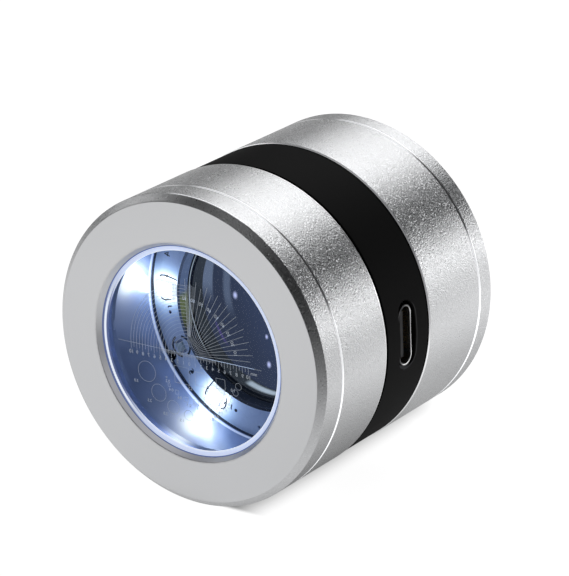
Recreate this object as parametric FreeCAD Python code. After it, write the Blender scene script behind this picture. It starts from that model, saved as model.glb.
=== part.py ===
import FreeCAD, Part
import math
import os

# A jewelers' loupe with a lit measuring scale, lying on its side.
# Lengths are millimetres. The optical axis runs along Y, one barrel radius above the surface below.
# A station is a distance along the axis from the flat base face, which points to -Y.
# Angles go round the axis from +X, where the charging port is, towards +Z.

# Outside of the loupe
barrel_radius = 22.5
base_ring_length = 4.66
base_barrel_length = 10.74
band_length = 10.6
rear_barrel_length = 13.06
focus_ring_length = 3.94
edge_chamfer = 0.95
seam_bevel = 0.15
band_edge_bevel = 0.2
port_lift_angle = 2.5

# Clearances
fit_gap = 0.02
running_gap = 0.05
part_gap = 0.1
overrun = 1.0

# Stations of the joints between the outer pieces
base_ring_end = base_ring_length
band_start = base_ring_end + base_barrel_length
band_end = band_start + band_length
band_middle = (band_start + band_end) / 2
rear_barrel_end = band_end + rear_barrel_length
loupe_length = rear_barrel_end + focus_ring_length

# Base ring, with the window that lies on the work
mouth_depth = 0.74
mouth_bevel = 0.55
mouth_step = 0.5
window_pocket_wall = 2.95
window_pocket_depth = 4.5
base_spigot_wall = 1.2
base_spigot_length = 2.6

# Window: seal, scale glass and threaded retainer
seal_thickness = 0.36
seal_bevel = 0.8
seal_bevel_depth = 0.29
glass_thickness = 2.0
glass_edge_bevel = 0.2
retainer_thickness = 0.8
retainer_width = 0.8
retainer_slot_width = 1.5
retainer_slot_depth = 0.4

# Base barrel, which is also the light chamber
chamber_wall = 3.3
chamber_spigot_length = 2.3

# Black band
band_recess = 0.1
band_wall = 1.4
port_cut_end_gap = 0.53
port_cut_side_gap = 0.17
port_edge_bevel = 0.12

# Lamp board, which carries the lamps in front and the other parts behind
board_gap = 0.4
board_thickness = 1.0
board_inner_step = 0.2
board_rim_gap = 0.2
board_hole_radius = 0.25
board_hole_inset = 1.3
board_hole_angle = -95.6
lamp_count = 6
lamp_length = 2.8
lamp_width = 3.5
lamp_turn_angle = -2
lamp_height = 0.8
resistor_count = 3
resistor_length = 2.0
resistor_width = 1.25
resistor_height = 0.5

# Charging port
port_length = 8.94
port_height = 3.26
port_depth = 6.5
port_wall = 0.3
port_recess = 0.5
port_room = 0.3
tongue_base_depth = 1.5
tongue_width = 6.69
tongue_thickness = 0.7
tongue_setback = 0.6
contact_pitch = 0.5
contact_width = 0.25
contact_length = 3.0
contact_thickness = 0.05
contacts_per_side = 12

# Chips and capacitors behind the board
charger_length = 4.9
charger_width = 3.0
charger_height = 1.5
charger_angle = 62
driver_length = 2.9
driver_width = 1.6
driver_height = 1.1
driver_angle = 118
capacitor_length = 1.6
capacitor_width = 0.8
capacitor_height = 0.8
capacitor_angles = (38, 79, 101, 142)

# Power switch and its button
button_angle = 180
button_length = 7.0
button_width = 3.5
button_proud = 0.08
button_travel = 0.4
button_lip = 0.6
button_lip_side = 0.3
button_lip_thickness = 0.5
button_lip_gap = 0.1
button_hole_gap = 0.1
plunger_length = 1.8
plunger_width = 1.2
plunger_reach = 0.7
plunger_root = 0.6
switch_length = 4.6
switch_depth = 2.6

# Carrier that backs the board
carrier_wall = 1.2
carrier_depth = 3.8
baffle_wall = 0.5
baffle_clearance = 0.15
carrier_rib_count = 3
carrier_rib_width = 2.4
carrier_rib_angle = 90
stake_radius = 0.6
stake_inset = 1.3
stake_head_radius = 0.8
stake_head_height = 0.25

# Lenses: two plano-convex glasses with their curved faces towards each other
lens_edge = 1.2
lens_curve_radius = 27.9
spacer_wall = 0.8
lens_retainer_thickness = 2.4
lens_retainer_width = 0.9

# Lens cell, which slides without turning
cell_wall = 0.55
cell_lip_thickness = 0.5
cell_lip_width = 0.35
cell_foot = 1.7
cell_hood_reach = 1.3
focus_travel = 1.0
cell_headroom = 0.3
key_radius = 0.5
key_station_drop = 8.0
key_angle = 90
key_reach = 0.5

# Guide tube for the cell
guide_wall = 0.6
guide_flange_thickness = 1.2
guide_head_gap = 0.4

# Rear barrel
rear_wall = 2.3
rear_lip_thickness = 1.66

# Focus ring and what holds it
hub_wall = 3.55
hub_length = 2.5
rim_land = 0.65
plate_drop = 0.2
plate_thickness = 1.2
cone_spread = 2.3
cone_depth = 2.4
cone_wall = 0.8
circlip_thickness = 0.45
circlip_grip = 0.7
circlip_reach_share = 0.55
circlip_opening = 3.0
o_ring_section = 0.9
o_ring_squeeze = 0.03

# Battery under the guide tube
battery_angle = -101.0
battery_room_share = 0.68
battery_end_gap = 0.5
battery_corner = 0.6
battery_board_thickness = 0.6
battery_board_share = 0.8
battery_pad_share = 0.5
lead_radius = 0.4
lead_offset = 1.6
lead_slot_gap = 0.25

# Radii and stations that follow from the sizes above
chamber_radius = barrel_radius - chamber_wall
window_pocket_radius = chamber_radius - window_pocket_wall
mouth_radius = window_pocket_radius - mouth_step
base_spigot_radius = chamber_radius + base_spigot_wall
band_outer_radius = barrel_radius - band_recess
band_inner_radius = band_outer_radius - band_wall
spigot_radius = band_inner_radius - fit_gap
rear_bore_radius = barrel_radius - rear_wall
port_mouth = band_outer_radius - port_recess
port_back = port_mouth - port_depth
baffle_radius = port_back - port_room - baffle_wall
guide_inner_radius = baffle_radius - baffle_clearance
guide_outer_radius = guide_inner_radius + guide_wall
cell_outer_radius = guide_inner_radius - running_gap
lens_radius = cell_outer_radius - cell_wall - running_gap
lens_clear_radius = lens_radius - cell_lip_width + running_gap
cone_radius = lens_clear_radius + cone_spread
hub_radius = guide_inner_radius + hub_wall
glass_front = mouth_depth + seal_thickness
glass_back = glass_front + glass_thickness
chamber_end = band_start + chamber_spigot_length
board_front = chamber_end + board_gap
board_back = board_front + board_thickness
board_outer_radius = band_inner_radius - board_rim_gap
board_inner_radius = baffle_radius + board_inner_step
lamp_circle = (board_inner_radius + chamber_radius) / 2
chip_circle = (baffle_radius + baffle_wall + spigot_radius - carrier_wall) / 2
carrier_end = board_back + carrier_depth
plate_face = loupe_length - plate_drop
cone_bottom = plate_face - cone_depth
cell_top = cone_bottom - focus_travel - cell_headroom
eye_lens_top = cell_top - cell_lip_thickness
lens_sag = lens_curve_radius - math.sqrt(lens_curve_radius ** 2 - lens_radius ** 2)
lens_thickness = lens_edge + lens_sag
spacer_inner_radius = lens_radius - spacer_wall
spacer_sag = lens_curve_radius - math.sqrt(lens_curve_radius ** 2 - spacer_inner_radius ** 2)
spacer_seat = lens_thickness - spacer_sag + fit_gap
cell_bottom = board_front - cell_hood_reach
field_lens_bottom = cell_bottom + cell_foot + lens_retainer_thickness
hub_bottom = rear_barrel_end - hub_length
rear_lip_start = rear_barrel_end - rear_lip_thickness
guide_end = hub_bottom - guide_head_gap
flange_end = carrier_end + guide_flange_thickness
battery_inner = guide_outer_radius + part_gap
battery_thickness = (rear_bore_radius - guide_outer_radius) * battery_room_share
battery_outer = battery_inner + battery_thickness
battery_half_width = math.sqrt((rear_bore_radius - 2 * part_gap) ** 2 - battery_outer ** 2)
battery_board_start = flange_end + part_gap
battery_start = battery_board_start + battery_board_thickness + running_gap
battery_end = hub_bottom - battery_end_gap
button_outer = band_outer_radius + button_proud
button_lip_half = button_length / 2 + button_lip
button_lip_outer = math.sqrt(band_inner_radius ** 2 - button_lip_half ** 2) - button_lip_gap
button_lip_inner = button_lip_outer - button_lip_thickness
switch_height = 2 * (band_middle - board_back)
plunger_end = button_lip_inner - running_gap
switch_face = plunger_end - plunger_reach
port_station = board_back + port_height / 2
port_cut_length = port_length + 2 * port_cut_end_gap
port_cut_width = port_height + 2 * port_cut_side_gap

axis_point = FreeCAD.Vector(0, 0, barrel_radius)
axis_way = FreeCAD.Vector(0, 1, 0)
half_length = loupe_length / 2


def place(radius, station):
    """The point above +X at a radius from the axis and a station along it."""
    return FreeCAD.Vector(radius, station - half_length, barrel_radius)


def around(shape, angle):
    """A copy of the shape, turned about the axis by an angle from +X towards +Z."""
    turned = shape.copy()
    turned.rotate(axis_point, axis_way, -angle)
    return turned


def evenly(shape, count, first_angle):
    """Copies of the shape, spread evenly round the axis."""
    return [around(shape, first_angle + 360 * turn / count) for turn in range(count)]


def revolved(outline):
    """A solid of revolution about the axis, from the (station, radius) points of its section."""
    points = [place(radius, station) for station, radius in outline]
    face = Part.Face(Part.makePolygon(points + points[:1]))
    return face.revolve(axis_point, axis_way, 360)


def tube(start, end, outer, inner):
    """A plain tube between two stations."""
    return revolved([(start, inner), (start, outer), (end, outer), (end, inner)])


def block(inner, outer, width, start, end, angle):
    """A box that stands radially: between two distances from the axis, and between two stations."""
    corner = place(inner, start) - FreeCAD.Vector(0, 0, width / 2)
    return around(Part.makeBox(outer - inner, end - start, width, corner), angle)


def pill(inner, outer, length, width, station, angle):
    """A bar with round ends that stands radially, with its length round the axis."""
    round_radius = width / 2
    straight = length / 2 - round_radius
    middle = block(inner, outer, 2 * straight, station - round_radius, station + round_radius, 0)
    for side in (-1, 1):
        centre = place(inner, station) + FreeCAD.Vector(0, 0, side * straight)
        end = Part.makeCylinder(round_radius, outer - inner, centre, FreeCAD.Vector(1, 0, 0))
        middle = middle.fuse(end)
    return around(middle.removeSplitter(), angle)


def rod(start, end, radius, circle, offset, angle):
    """A round bar along the axis, at a distance from it and set off sideways."""
    foot = place(circle, start) + FreeCAD.Vector(0, 0, offset)
    return around(Part.makeCylinder(radius, end - start, foot, axis_way), angle)


def save(name, shape):
    """Writes one piece, with the whole loupe rolled so that its port points a little upwards."""
    around(shape, port_lift_angle).exportStep("parts/" + name + ".step")


def save_group(name, shapes):
    """Writes several alike pieces as one file of separate solids."""
    save(name, Part.makeCompound(shapes))


def make_base_ring():
    """The front ring, which lies flat on the work and screws into the base barrel."""
    return revolved([
        (0, mouth_radius),
        (0, barrel_radius - edge_chamfer),
        (edge_chamfer, barrel_radius),
        (base_ring_end - seam_bevel, barrel_radius),
        (base_ring_end, barrel_radius - seam_bevel),
        (base_ring_end, base_spigot_radius),
        (base_ring_end + base_spigot_length, base_spigot_radius),
        (base_ring_end + base_spigot_length, chamber_radius),
        (window_pocket_depth, chamber_radius),
        (window_pocket_depth, window_pocket_radius),
        (mouth_depth, window_pocket_radius),
        (mouth_depth, mouth_radius - mouth_bevel),
    ])


def make_window_seal():
    """The translucent ring between the front ring's lip and the scale glass."""
    outer = window_pocket_radius - fit_gap
    lip = mouth_radius - mouth_bevel
    return revolved([
        (mouth_depth, lip),
        (mouth_depth, outer),
        (glass_front, outer),
        (glass_front, lip - seal_bevel),
        (mouth_depth + seal_bevel_depth, lip - seal_bevel),
    ])


def make_scale_glass():
    """The flat glass that carries the measuring scale on its front face."""
    outer = window_pocket_radius - fit_gap
    return revolved([
        (glass_front, 0),
        (glass_front, outer - glass_edge_bevel),
        (glass_front + glass_edge_bevel, outer),
        (glass_back - glass_edge_bevel, outer),
        (glass_back, outer - glass_edge_bevel),
        (glass_back, 0),
    ])


def make_glass_retainer():
    """The threaded ring behind the glass, with two slots for a pin wrench."""
    outer = window_pocket_radius - fit_gap
    inner = outer - retainer_width
    end = glass_back + retainer_thickness
    ring = tube(glass_back, end, outer, inner)
    cutter = block(
        inner - overrun,
        outer + overrun,
        retainer_slot_width,
        end - retainer_slot_depth,
        end + overrun,
        0,
    )
    for slot in evenly(cutter, 2, 0):
        ring = ring.cut(slot)
    return ring


def make_base_barrel():
    """The front barrel: a polished light chamber with a spigot that enters the black band."""
    socket_radius = base_spigot_radius + fit_gap
    socket_end = base_ring_end + base_spigot_length + running_gap
    return revolved([
        (base_ring_end, socket_radius),
        (base_ring_end, barrel_radius - seam_bevel),
        (base_ring_end + seam_bevel, barrel_radius),
        (band_start - band_edge_bevel, barrel_radius),
        (band_start, barrel_radius - band_edge_bevel),
        (band_start, spigot_radius),
        (chamber_end, spigot_radius),
        (chamber_end, chamber_radius),
        (socket_end, chamber_radius),
        (socket_end, socket_radius),
    ])


def make_centre_band():
    """The black middle ring, with the cut-outs for the port and the button."""
    band = tube(band_start, band_end, band_outer_radius, band_inner_radius)
    outside = barrel_radius + overrun
    inside = band_inner_radius - overrun - button_lip
    port = pill(inside, outside, port_cut_length, port_cut_width, port_station, 0)
    band = band.cut(port)
    rim = [edge for edge in band.Edges if is_port_rim(edge)]
    band = band.makeChamfer(port_edge_bevel, rim)
    hole_length = button_length + 2 * button_hole_gap
    hole_width = button_width + 2 * button_hole_gap
    hole = pill(inside, outside, hole_length, hole_width, band_middle, button_angle)
    return band.cut(hole)


def is_port_rim(edge):
    """True for the edges where the port's cut-out meets the outside of the band."""
    ends = [vertex.Point for vertex in edge.Vertexes]
    nearest = min(math.hypot(end.x, end.z - barrel_radius) for end in ends)
    station = edge.CenterOfMass.y + half_length
    return nearest > band_outer_radius - running_gap and band_start < station < band_end


def make_led_board():
    """The ring-shaped circuit board."""
    board = tube(board_front, board_back, board_outer_radius, board_inner_radius)
    hole = rod(
        board_front - overrun,
        board_back + overrun,
        board_hole_radius,
        chamber_radius - board_hole_inset,
        0,
        board_hole_angle,
    )
    board = board.cut(hole)
    stake_hole = rod(
        board_front - overrun,
        board_back + overrun,
        stake_radius + running_gap,
        board_outer_radius - stake_inset,
        0,
        0,
    )
    for cutter in evenly(stake_hole, carrier_rib_count, carrier_rib_angle):
        board = board.cut(cutter)
    button_notch = block(
        button_lip_inner - button_travel - part_gap,
        barrel_radius,
        2 * button_lip_half + 2 * part_gap,
        board_front - overrun,
        board_back + overrun,
        button_angle,
    )
    return board.cut(button_notch)


def make_leds():
    """The white lamps on the front of the board."""
    inner = lamp_circle - lamp_width / 2
    lamp = block(inner, inner + lamp_width, lamp_length, board_front - lamp_height, board_front, 0)
    return evenly(lamp, lamp_count, lamp_turn_angle)


def make_resistors():
    """One small resistor for each pair of lamps."""
    inner = lamp_circle - resistor_width / 2
    outer = inner + resistor_width
    start = board_front - resistor_height
    resistor = block(inner, outer, resistor_length, start, board_front, 0)
    first_angle = lamp_turn_angle + 180 + 180 / lamp_count
    return evenly(resistor, resistor_count, first_angle)


def chip(length, width, height, angle):
    """A flat package on the back of the board."""
    inner = chip_circle - width / 2
    return block(inner, inner + width, length, board_back, board_back + height, angle)


def make_usb_shell():
    """The steel shell of the charging port."""
    shell = pill(port_back, port_mouth, port_length, port_height, port_station, 0)
    cavity = pill(
        port_back - overrun,
        port_mouth + overrun,
        port_length - 2 * port_wall,
        port_height - 2 * port_wall,
        port_station,
        0,
    )
    return shell.cut(cavity)


def make_usb_tongue():
    """The plastic back of the port and the tongue that stands in its mouth."""
    inside_length = port_length - 2 * (port_wall + fit_gap)
    inside_height = port_height - 2 * (port_wall + fit_gap)
    base_end = port_back + tongue_base_depth
    base = pill(port_back, base_end, inside_length, inside_height, port_station, 0)
    tongue = block(
        port_back,
        port_mouth - tongue_setback,
        tongue_width,
        port_station - tongue_thickness / 2,
        port_station + tongue_thickness / 2,
        0,
    )
    return base.fuse(tongue).removeSplitter()


def make_usb_contacts():
    """The rows of contacts on both faces of the tongue."""
    outer = port_mouth - tongue_setback - contact_pitch
    contacts = []
    for side in (-1, 1):
        face = port_station + side * tongue_thickness / 2
        start = min(face, face + side * contact_thickness)
        for place_number in range(contacts_per_side):
            offset = (place_number - (contacts_per_side - 1) / 2) * contact_pitch
            contact = block(
                outer - contact_length,
                outer,
                contact_width,
                start,
                start + contact_thickness,
                0,
            )
            contact.translate(FreeCAD.Vector(0, 0, offset))
            contacts.append(contact)
    return contacts


def make_board_carrier():
    """The black frame behind the board: two walls joined by ribs, with stakes through the board."""
    outer = tube(board_back, carrier_end, spigot_radius, spigot_radius - carrier_wall)
    baffle = tube(board_back, carrier_end, baffle_radius + baffle_wall, baffle_radius)
    frame = outer.fuse(baffle)
    stake_circle = board_outer_radius - stake_inset
    rib = block(
        baffle_radius + baffle_wall / 2,
        spigot_radius - carrier_wall / 2,
        carrier_rib_width,
        board_back,
        carrier_end,
        0,
    )
    stake = rod(board_front, board_back + overrun, stake_radius, stake_circle, 0, 0)
    head_start = board_front - stake_head_height
    head = rod(head_start, board_front, stake_head_radius, stake_circle, 0, 0)
    post = rib.fuse(stake).fuse(head)
    for piece in evenly(post, carrier_rib_count, carrier_rib_angle):
        frame = frame.fuse(piece)
    wall_inside = port_back - part_gap
    port_space = block(
        wall_inside,
        barrel_radius,
        port_length + 2 * part_gap,
        board_back - overrun,
        carrier_end + overrun,
        0,
    )
    button_space = block(
        spigot_radius - 2 * carrier_wall,
        barrel_radius,
        2 * button_lip_half + 2 * part_gap,
        board_back - overrun,
        carrier_end + overrun,
        button_angle,
    )
    return frame.cut(port_space).cut(button_space).removeSplitter()


def make_switch_body():
    """The side-pressed power switch, with the socket that its plunger slides in."""
    body = block(
        switch_face - switch_depth,
        switch_face,
        switch_length,
        board_back,
        board_back + switch_height,
        button_angle,
    )
    socket = block(
        switch_face - plunger_root - button_travel - running_gap,
        switch_face + overrun,
        plunger_length + 2 * running_gap,
        band_middle - plunger_width / 2 - running_gap,
        band_middle + plunger_width / 2 + running_gap,
        button_angle,
    )
    return body.cut(socket)


def make_switch_plunger():
    """The small plunger between the switch and the button."""
    return block(
        switch_face - plunger_root,
        plunger_end,
        plunger_length,
        band_middle - plunger_width / 2,
        band_middle + plunger_width / 2,
        button_angle,
    )


def make_power_button():
    """The button cap: its face follows the band, and a lip inside keeps it from falling out."""
    cap = pill(
        button_lip_inner,
        barrel_radius + overrun,
        button_length,
        button_width,
        band_middle,
        button_angle,
    )
    face = Part.makeCylinder(button_outer, loupe_length, place(0, 0), axis_way)
    lip = pill(
        button_lip_inner,
        button_lip_outer,
        2 * button_lip_half,
        button_width + 2 * button_lip_side,
        band_middle,
        button_angle,
    )
    return cap.common(face).fuse(lip).removeSplitter()


def lens(flat_station, curve_side):
    """A plano-convex glass: curve_side is 1 where its curved face points to the eye."""
    crown_station = flat_station + curve_side * lens_thickness
    centre_station = crown_station - curve_side * lens_curve_radius
    half_turn = math.asin(lens_radius / lens_curve_radius) / 2
    middle = place(
        lens_curve_radius * math.sin(half_turn),
        centre_station + curve_side * lens_curve_radius * math.cos(half_turn),
    )
    crown = place(0, crown_station)
    rim = place(lens_radius, flat_station + curve_side * lens_edge)
    flat = [crown, place(0, flat_station), place(lens_radius, flat_station), rim]
    outline = Part.makePolygon(flat).Edges + [Part.Arc(rim, middle, crown).toShape()]
    return Part.Face(Part.Wire(outline)).revolve(axis_point, axis_way, 360)


def make_lens_cell():
    """The tube that holds both lenses, with a lip in front of the eye lens. Its foot reaches through
    the lamp board as a hood that keeps the lamps' light off the field lens."""
    inner = lens_radius + running_gap
    cell = revolved([
        (cell_bottom, inner),
        (cell_bottom, cell_outer_radius),
        (cell_top, cell_outer_radius),
        (cell_top, lens_clear_radius),
        (eye_lens_top, lens_clear_radius),
        (eye_lens_top, inner),
    ])
    return cell.cut(key_pin(key_radius + fit_gap, cell_outer_radius + overrun))


def key_pin(radius, reach):
    """A radial pin through the wall of the lens cell."""
    inner = lens_radius + running_gap
    foot = place(inner, cell_top - key_station_drop)
    pin = Part.makeCylinder(radius, reach - inner, foot, FreeCAD.Vector(1, 0, 0))
    return around(pin, key_angle)


def make_focus_guide():
    """The fixed tube that the lens cell slides in, on a flange that screws into the rear barrel."""
    guide = revolved([
        (carrier_end, guide_inner_radius),
        (carrier_end, rear_bore_radius - fit_gap),
        (flange_end, rear_bore_radius - fit_gap),
        (flange_end, guide_outer_radius),
        (guide_end, guide_outer_radius),
        (guide_end, guide_inner_radius),
    ])
    half_slot = key_radius + running_gap
    key_station = cell_top - key_station_drop
    slot = block(
        guide_inner_radius - overrun / 2,
        guide_outer_radius + overrun / 2,
        2 * half_slot,
        key_station - focus_travel - half_slot,
        key_station + focus_travel + half_slot,
        key_angle,
    )
    leads_width = 2 * (lead_offset + lead_radius + lead_slot_gap)
    leads_circle = (battery_inner + battery_outer) / 2
    leads_hole = block(
        leads_circle - lead_radius - lead_slot_gap,
        leads_circle + lead_radius + lead_slot_gap,
        leads_width,
        carrier_end - overrun,
        flange_end + overrun,
        battery_angle,
    )
    return guide.cut(slot).cut(leads_hole)


def make_rear_barrel():
    """The rear barrel: a spigot in the black band, and a lip that the focus ring turns in."""
    return revolved([
        (carrier_end, rear_bore_radius),
        (carrier_end, spigot_radius),
        (band_end, spigot_radius),
        (band_end, barrel_radius - band_edge_bevel),
        (band_end + band_edge_bevel, barrel_radius),
        (rear_barrel_end - seam_bevel, barrel_radius),
        (rear_barrel_end, barrel_radius - seam_bevel),
        (rear_barrel_end, hub_radius + running_gap),
        (rear_lip_start, hub_radius + running_gap),
        (rear_lip_start, rear_bore_radius),
    ])


def make_focus_ring():
    """The ring at the eye end: its hub turns in the rear barrel and drives the lens cell."""
    thread_radius = cell_outer_radius + running_gap
    plate_seat = plate_face - plate_thickness
    rim_radius = barrel_radius - edge_chamfer - rim_land
    groove_end = rear_lip_start - running_gap / 2
    groove_start = groove_end - circlip_thickness - running_gap
    groove_radius = hub_radius - circlip_grip
    o_ring_middle = (rear_lip_start + rear_barrel_end) / 2
    o_ring_groove = hub_radius - o_ring_section
    bottom = rear_barrel_end + running_gap
    collar_radius = cone_radius + cone_wall
    collar_room = cone_bottom - part_gap
    return revolved([
        (hub_bottom, thread_radius),
        (hub_bottom, hub_radius),
        (groove_start, hub_radius),
        (groove_start, groove_radius),
        (groove_end, groove_radius),
        (groove_end, hub_radius),
        (o_ring_middle - o_ring_section / 2 - running_gap, hub_radius),
        (o_ring_middle - o_ring_section / 2 - running_gap, o_ring_groove),
        (o_ring_middle + o_ring_section / 2 + running_gap, o_ring_groove),
        (o_ring_middle + o_ring_section / 2 + running_gap, hub_radius),
        (bottom, hub_radius),
        (bottom, barrel_radius - seam_bevel),
        (bottom + seam_bevel, barrel_radius),
        (loupe_length - edge_chamfer, barrel_radius),
        (loupe_length, barrel_radius - edge_chamfer),
        (loupe_length, rim_radius),
        (plate_seat, rim_radius),
        (plate_seat, collar_radius),
        (collar_room, collar_radius),
        (collar_room, thread_radius),
    ])


def make_eye_plate():
    """The face plate in the focus ring, with the cone that leads down to the eye lens."""
    rim_radius = barrel_radius - edge_chamfer - rim_land - fit_gap
    collar_radius = cone_radius + cone_wall - fit_gap
    return revolved([
        (cone_bottom, lens_clear_radius),
        (cone_bottom, collar_radius),
        (plate_face - plate_thickness, collar_radius),
        (plate_face - plate_thickness, rim_radius),
        (plate_face, rim_radius),
        (plate_face, cone_radius),
    ])


def make_circlip():
    """The open spring ring in the hub's groove, which keeps the focus ring in the barrel."""
    end = rear_lip_start - running_gap
    inner = hub_radius - circlip_grip + fit_gap
    outer = hub_radius + (rear_bore_radius - hub_radius) * circlip_reach_share
    ring = tube(end - circlip_thickness, end, outer, inner)
    opening = block(
        inner - overrun,
        outer + overrun,
        circlip_opening,
        end - circlip_thickness - overrun,
        end + overrun,
        0,
    )
    return ring.cut(opening)


def make_o_ring():
    """The rubber ring that gives the focus ring its smooth drag."""
    section = (o_ring_section - o_ring_squeeze) / 2
    middle_radius = hub_radius - o_ring_section / 2
    centre = place(0, (rear_lip_start + rear_barrel_end) / 2)
    return Part.makeTorus(middle_radius, section, centre, axis_way)


def make_battery_cell():
    """The flat rechargeable cell, under the guide tube, with rounded edges."""
    cell = block(
        battery_inner,
        battery_outer,
        2 * battery_half_width,
        battery_start,
        battery_end,
        battery_angle,
    )
    return cell.makeFillet(battery_corner, cell.Edges)


def make_battery_board():
    """The small protection board at the front of the cell."""
    inset = (1 - battery_board_share) * battery_thickness / 2
    return block(
        battery_inner + inset,
        battery_outer - inset,
        2 * battery_half_width * battery_board_share,
        battery_board_start,
        battery_start - running_gap,
        battery_angle,
    )


def make_battery_pad():
    """The foam strip between the cell and the wall of the rear barrel."""
    half_width = battery_half_width * battery_pad_share
    reach = math.sqrt(rear_bore_radius ** 2 - half_width ** 2) - running_gap
    return block(
        battery_outer,
        reach,
        2 * half_width,
        battery_start,
        battery_end,
        battery_angle,
    )


def make_battery_lead(side):
    """One of the two leads from the protection board to the back of the lamp board."""
    circle = (battery_inner + battery_outer) / 2
    return rod(board_back, battery_board_start, lead_radius, circle, side * lead_offset, battery_angle)


def build():
    os.makedirs("parts", exist_ok=True)
    save("base_ring", make_base_ring())
    save("window_seal", make_window_seal())
    save("scale_glass", make_scale_glass())
    save("glass_retainer", make_glass_retainer())
    save("base_barrel", make_base_barrel())
    save("centre_band", make_centre_band())
    save("led_board", make_led_board())
    save_group("leds", make_leds())
    save_group("led_resistors", make_resistors())
    save("charger_chip", chip(charger_length, charger_width, charger_height, charger_angle))
    save("driver_chip", chip(driver_length, driver_width, driver_height, driver_angle))
    capacitors = [
        chip(capacitor_length, capacitor_width, capacitor_height, angle)
        for angle in capacitor_angles
    ]
    save_group("capacitors", capacitors)
    save("usb_shell", make_usb_shell())
    save("usb_tongue", make_usb_tongue())
    save_group("usb_contacts", make_usb_contacts())
    save("switch_body", make_switch_body())
    save("switch_plunger", make_switch_plunger())
    save("power_button", make_power_button())
    save("board_carrier", make_board_carrier())
    save("focus_guide", make_focus_guide())
    save("rear_barrel", make_rear_barrel())
    save("lens_cell", make_lens_cell())
    save("field_lens", lens(field_lens_bottom, 1))
    save("eye_lens", lens(eye_lens_top, -1))
    spacer_start = field_lens_bottom + spacer_seat
    spacer_end = eye_lens_top - spacer_seat
    save("lens_spacer", tube(spacer_start, spacer_end, lens_radius, spacer_inner_radius))
    lens_retainer_start = field_lens_bottom - lens_retainer_thickness
    lens_retainer_inner = lens_radius - lens_retainer_width
    save(
        "lens_retainer",
        tube(lens_retainer_start, field_lens_bottom, lens_radius, lens_retainer_inner),
    )
    save("focus_key", key_pin(key_radius, guide_inner_radius + key_reach))
    save("focus_ring", make_focus_ring())
    save("eye_plate", make_eye_plate())
    save("focus_circlip", make_circlip())
    save("focus_o_ring", make_o_ring())
    save("battery_cell", make_battery_cell())
    save("battery_board", make_battery_board())
    save("battery_pad", make_battery_pad())
    save("battery_lead_red", make_battery_lead(1))
    save("battery_lead_black", make_battery_lead(-1))


build()
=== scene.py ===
# %% [markdown]
# # A jewelers' loupe with a lit measuring scale
#
# This lesson dresses a CAD model of a loupe: a turned aluminium barrel that lies on its side, with a
# window and a printed scale at one end, lenses at the other, and a ring of lamps inside. The CAD model
# already has every piece at its true size and place. What it lacks is what the eye enjoys: blasted
# metal, polished edges, glowing lamps and fine printing. We load it first, because everything below is
# measured from it.

# %% The frame from the CAD model
import math

import bmesh
import bpy
import numpy as np
from mathutils import Matrix


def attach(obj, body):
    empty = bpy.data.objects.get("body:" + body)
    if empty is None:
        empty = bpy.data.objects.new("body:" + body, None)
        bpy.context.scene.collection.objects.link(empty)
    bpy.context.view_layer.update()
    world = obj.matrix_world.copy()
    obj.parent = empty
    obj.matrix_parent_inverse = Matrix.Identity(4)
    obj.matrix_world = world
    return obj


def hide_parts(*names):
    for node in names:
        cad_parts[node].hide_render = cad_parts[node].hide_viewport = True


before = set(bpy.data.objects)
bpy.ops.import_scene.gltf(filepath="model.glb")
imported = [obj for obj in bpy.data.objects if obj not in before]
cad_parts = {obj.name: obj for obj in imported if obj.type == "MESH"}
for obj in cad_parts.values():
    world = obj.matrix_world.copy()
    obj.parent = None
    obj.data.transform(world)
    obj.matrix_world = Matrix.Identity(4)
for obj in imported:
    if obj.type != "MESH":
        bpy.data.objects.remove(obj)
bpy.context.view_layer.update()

# %% [markdown]
# ## Sizes
#
# The drawing's sizes are in millimetres, while Blender works in metres. We keep the numbers as they are
# on the drawing and turn them into metres in one place, so each can be checked against the part. A
# station is a distance along the optical axis from the flat base face.

# %% Sizes from the drawing
MM = 0.001
BARREL = 22.5
LENGTH = 43.0
RING_END = 4.66
BAND_START = 15.4
BAND_END = 26.0
REAR_END = 39.06
CHAMBER = 19.2
CHAMBER_END = 17.7
SPIGOT = 20.98
WINDOW_POCKET = 16.25
GLASS_FRONT = 1.1
GLASS_BACK = 3.1
BOARD_FRONT = 18.1
LAMP_CIRCLE = 17.0
LAMP_COUNT = 6
LAMP_LONG = 3.5
LAMP_WIDE = 2.8
LENS = 13.8
LENS_CURVE = 27.9
LENS_EDGE = 1.2
FIELD_LENS_FLAT = 20.9
EYE_LENS_FLAT = 38.6
PLATE_FACE = 42.8
CONE_BOTTOM = 40.4
CONE = 15.8
PLATE_RIM = 20.88
PORT_STATION = 20.73
PORT_MOUTH = 21.9
PORT_BACK = 15.4
PORT_LIFT = math.radians(2.5)
LAMP_TURN = math.radians(0.5)
SECTORS = 288
print("loupe:", 2 * BARREL, "mm across,", LENGTH, "mm long")

# %% [markdown]
# ## Round places
#
# Almost every piece of a loupe is turned on a lathe, so the natural coordinates are a station, a radius
# and an angle. One function turns whole arrays of them into points. A second one serves pieces that
# stand on the barrel like a button, with a height, a sideways distance and a station.

# %% From round coordinates to points
def place(station, radius, angle):
    """x = radius times cosine of the angle, y = station less half the length, z = the axis height
    plus radius times sine of the angle."""
    station, radius, angle = np.broadcast_arrays(station, radius, angle)
    x = radius * np.cos(angle)
    z = BARREL + radius * np.sin(angle)
    return MM * np.stack([x, station - LENGTH / 2, z], axis=-1)


def upright(height, sideways, station, angle):
    """A point at a height above the axis along the angle's direction, moved sideways across it."""
    height, sideways, station = np.broadcast_arrays(height, sideways, station)
    x = height * math.cos(angle) - sideways * math.sin(angle)
    z = height * math.sin(angle) + sideways * math.cos(angle)
    return MM * np.stack([x, station - LENGTH / 2, z + BARREL], axis=-1)


print("port mouth at", place(PORT_STATION, PORT_MOUTH, PORT_LIFT).round(4))

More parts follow.
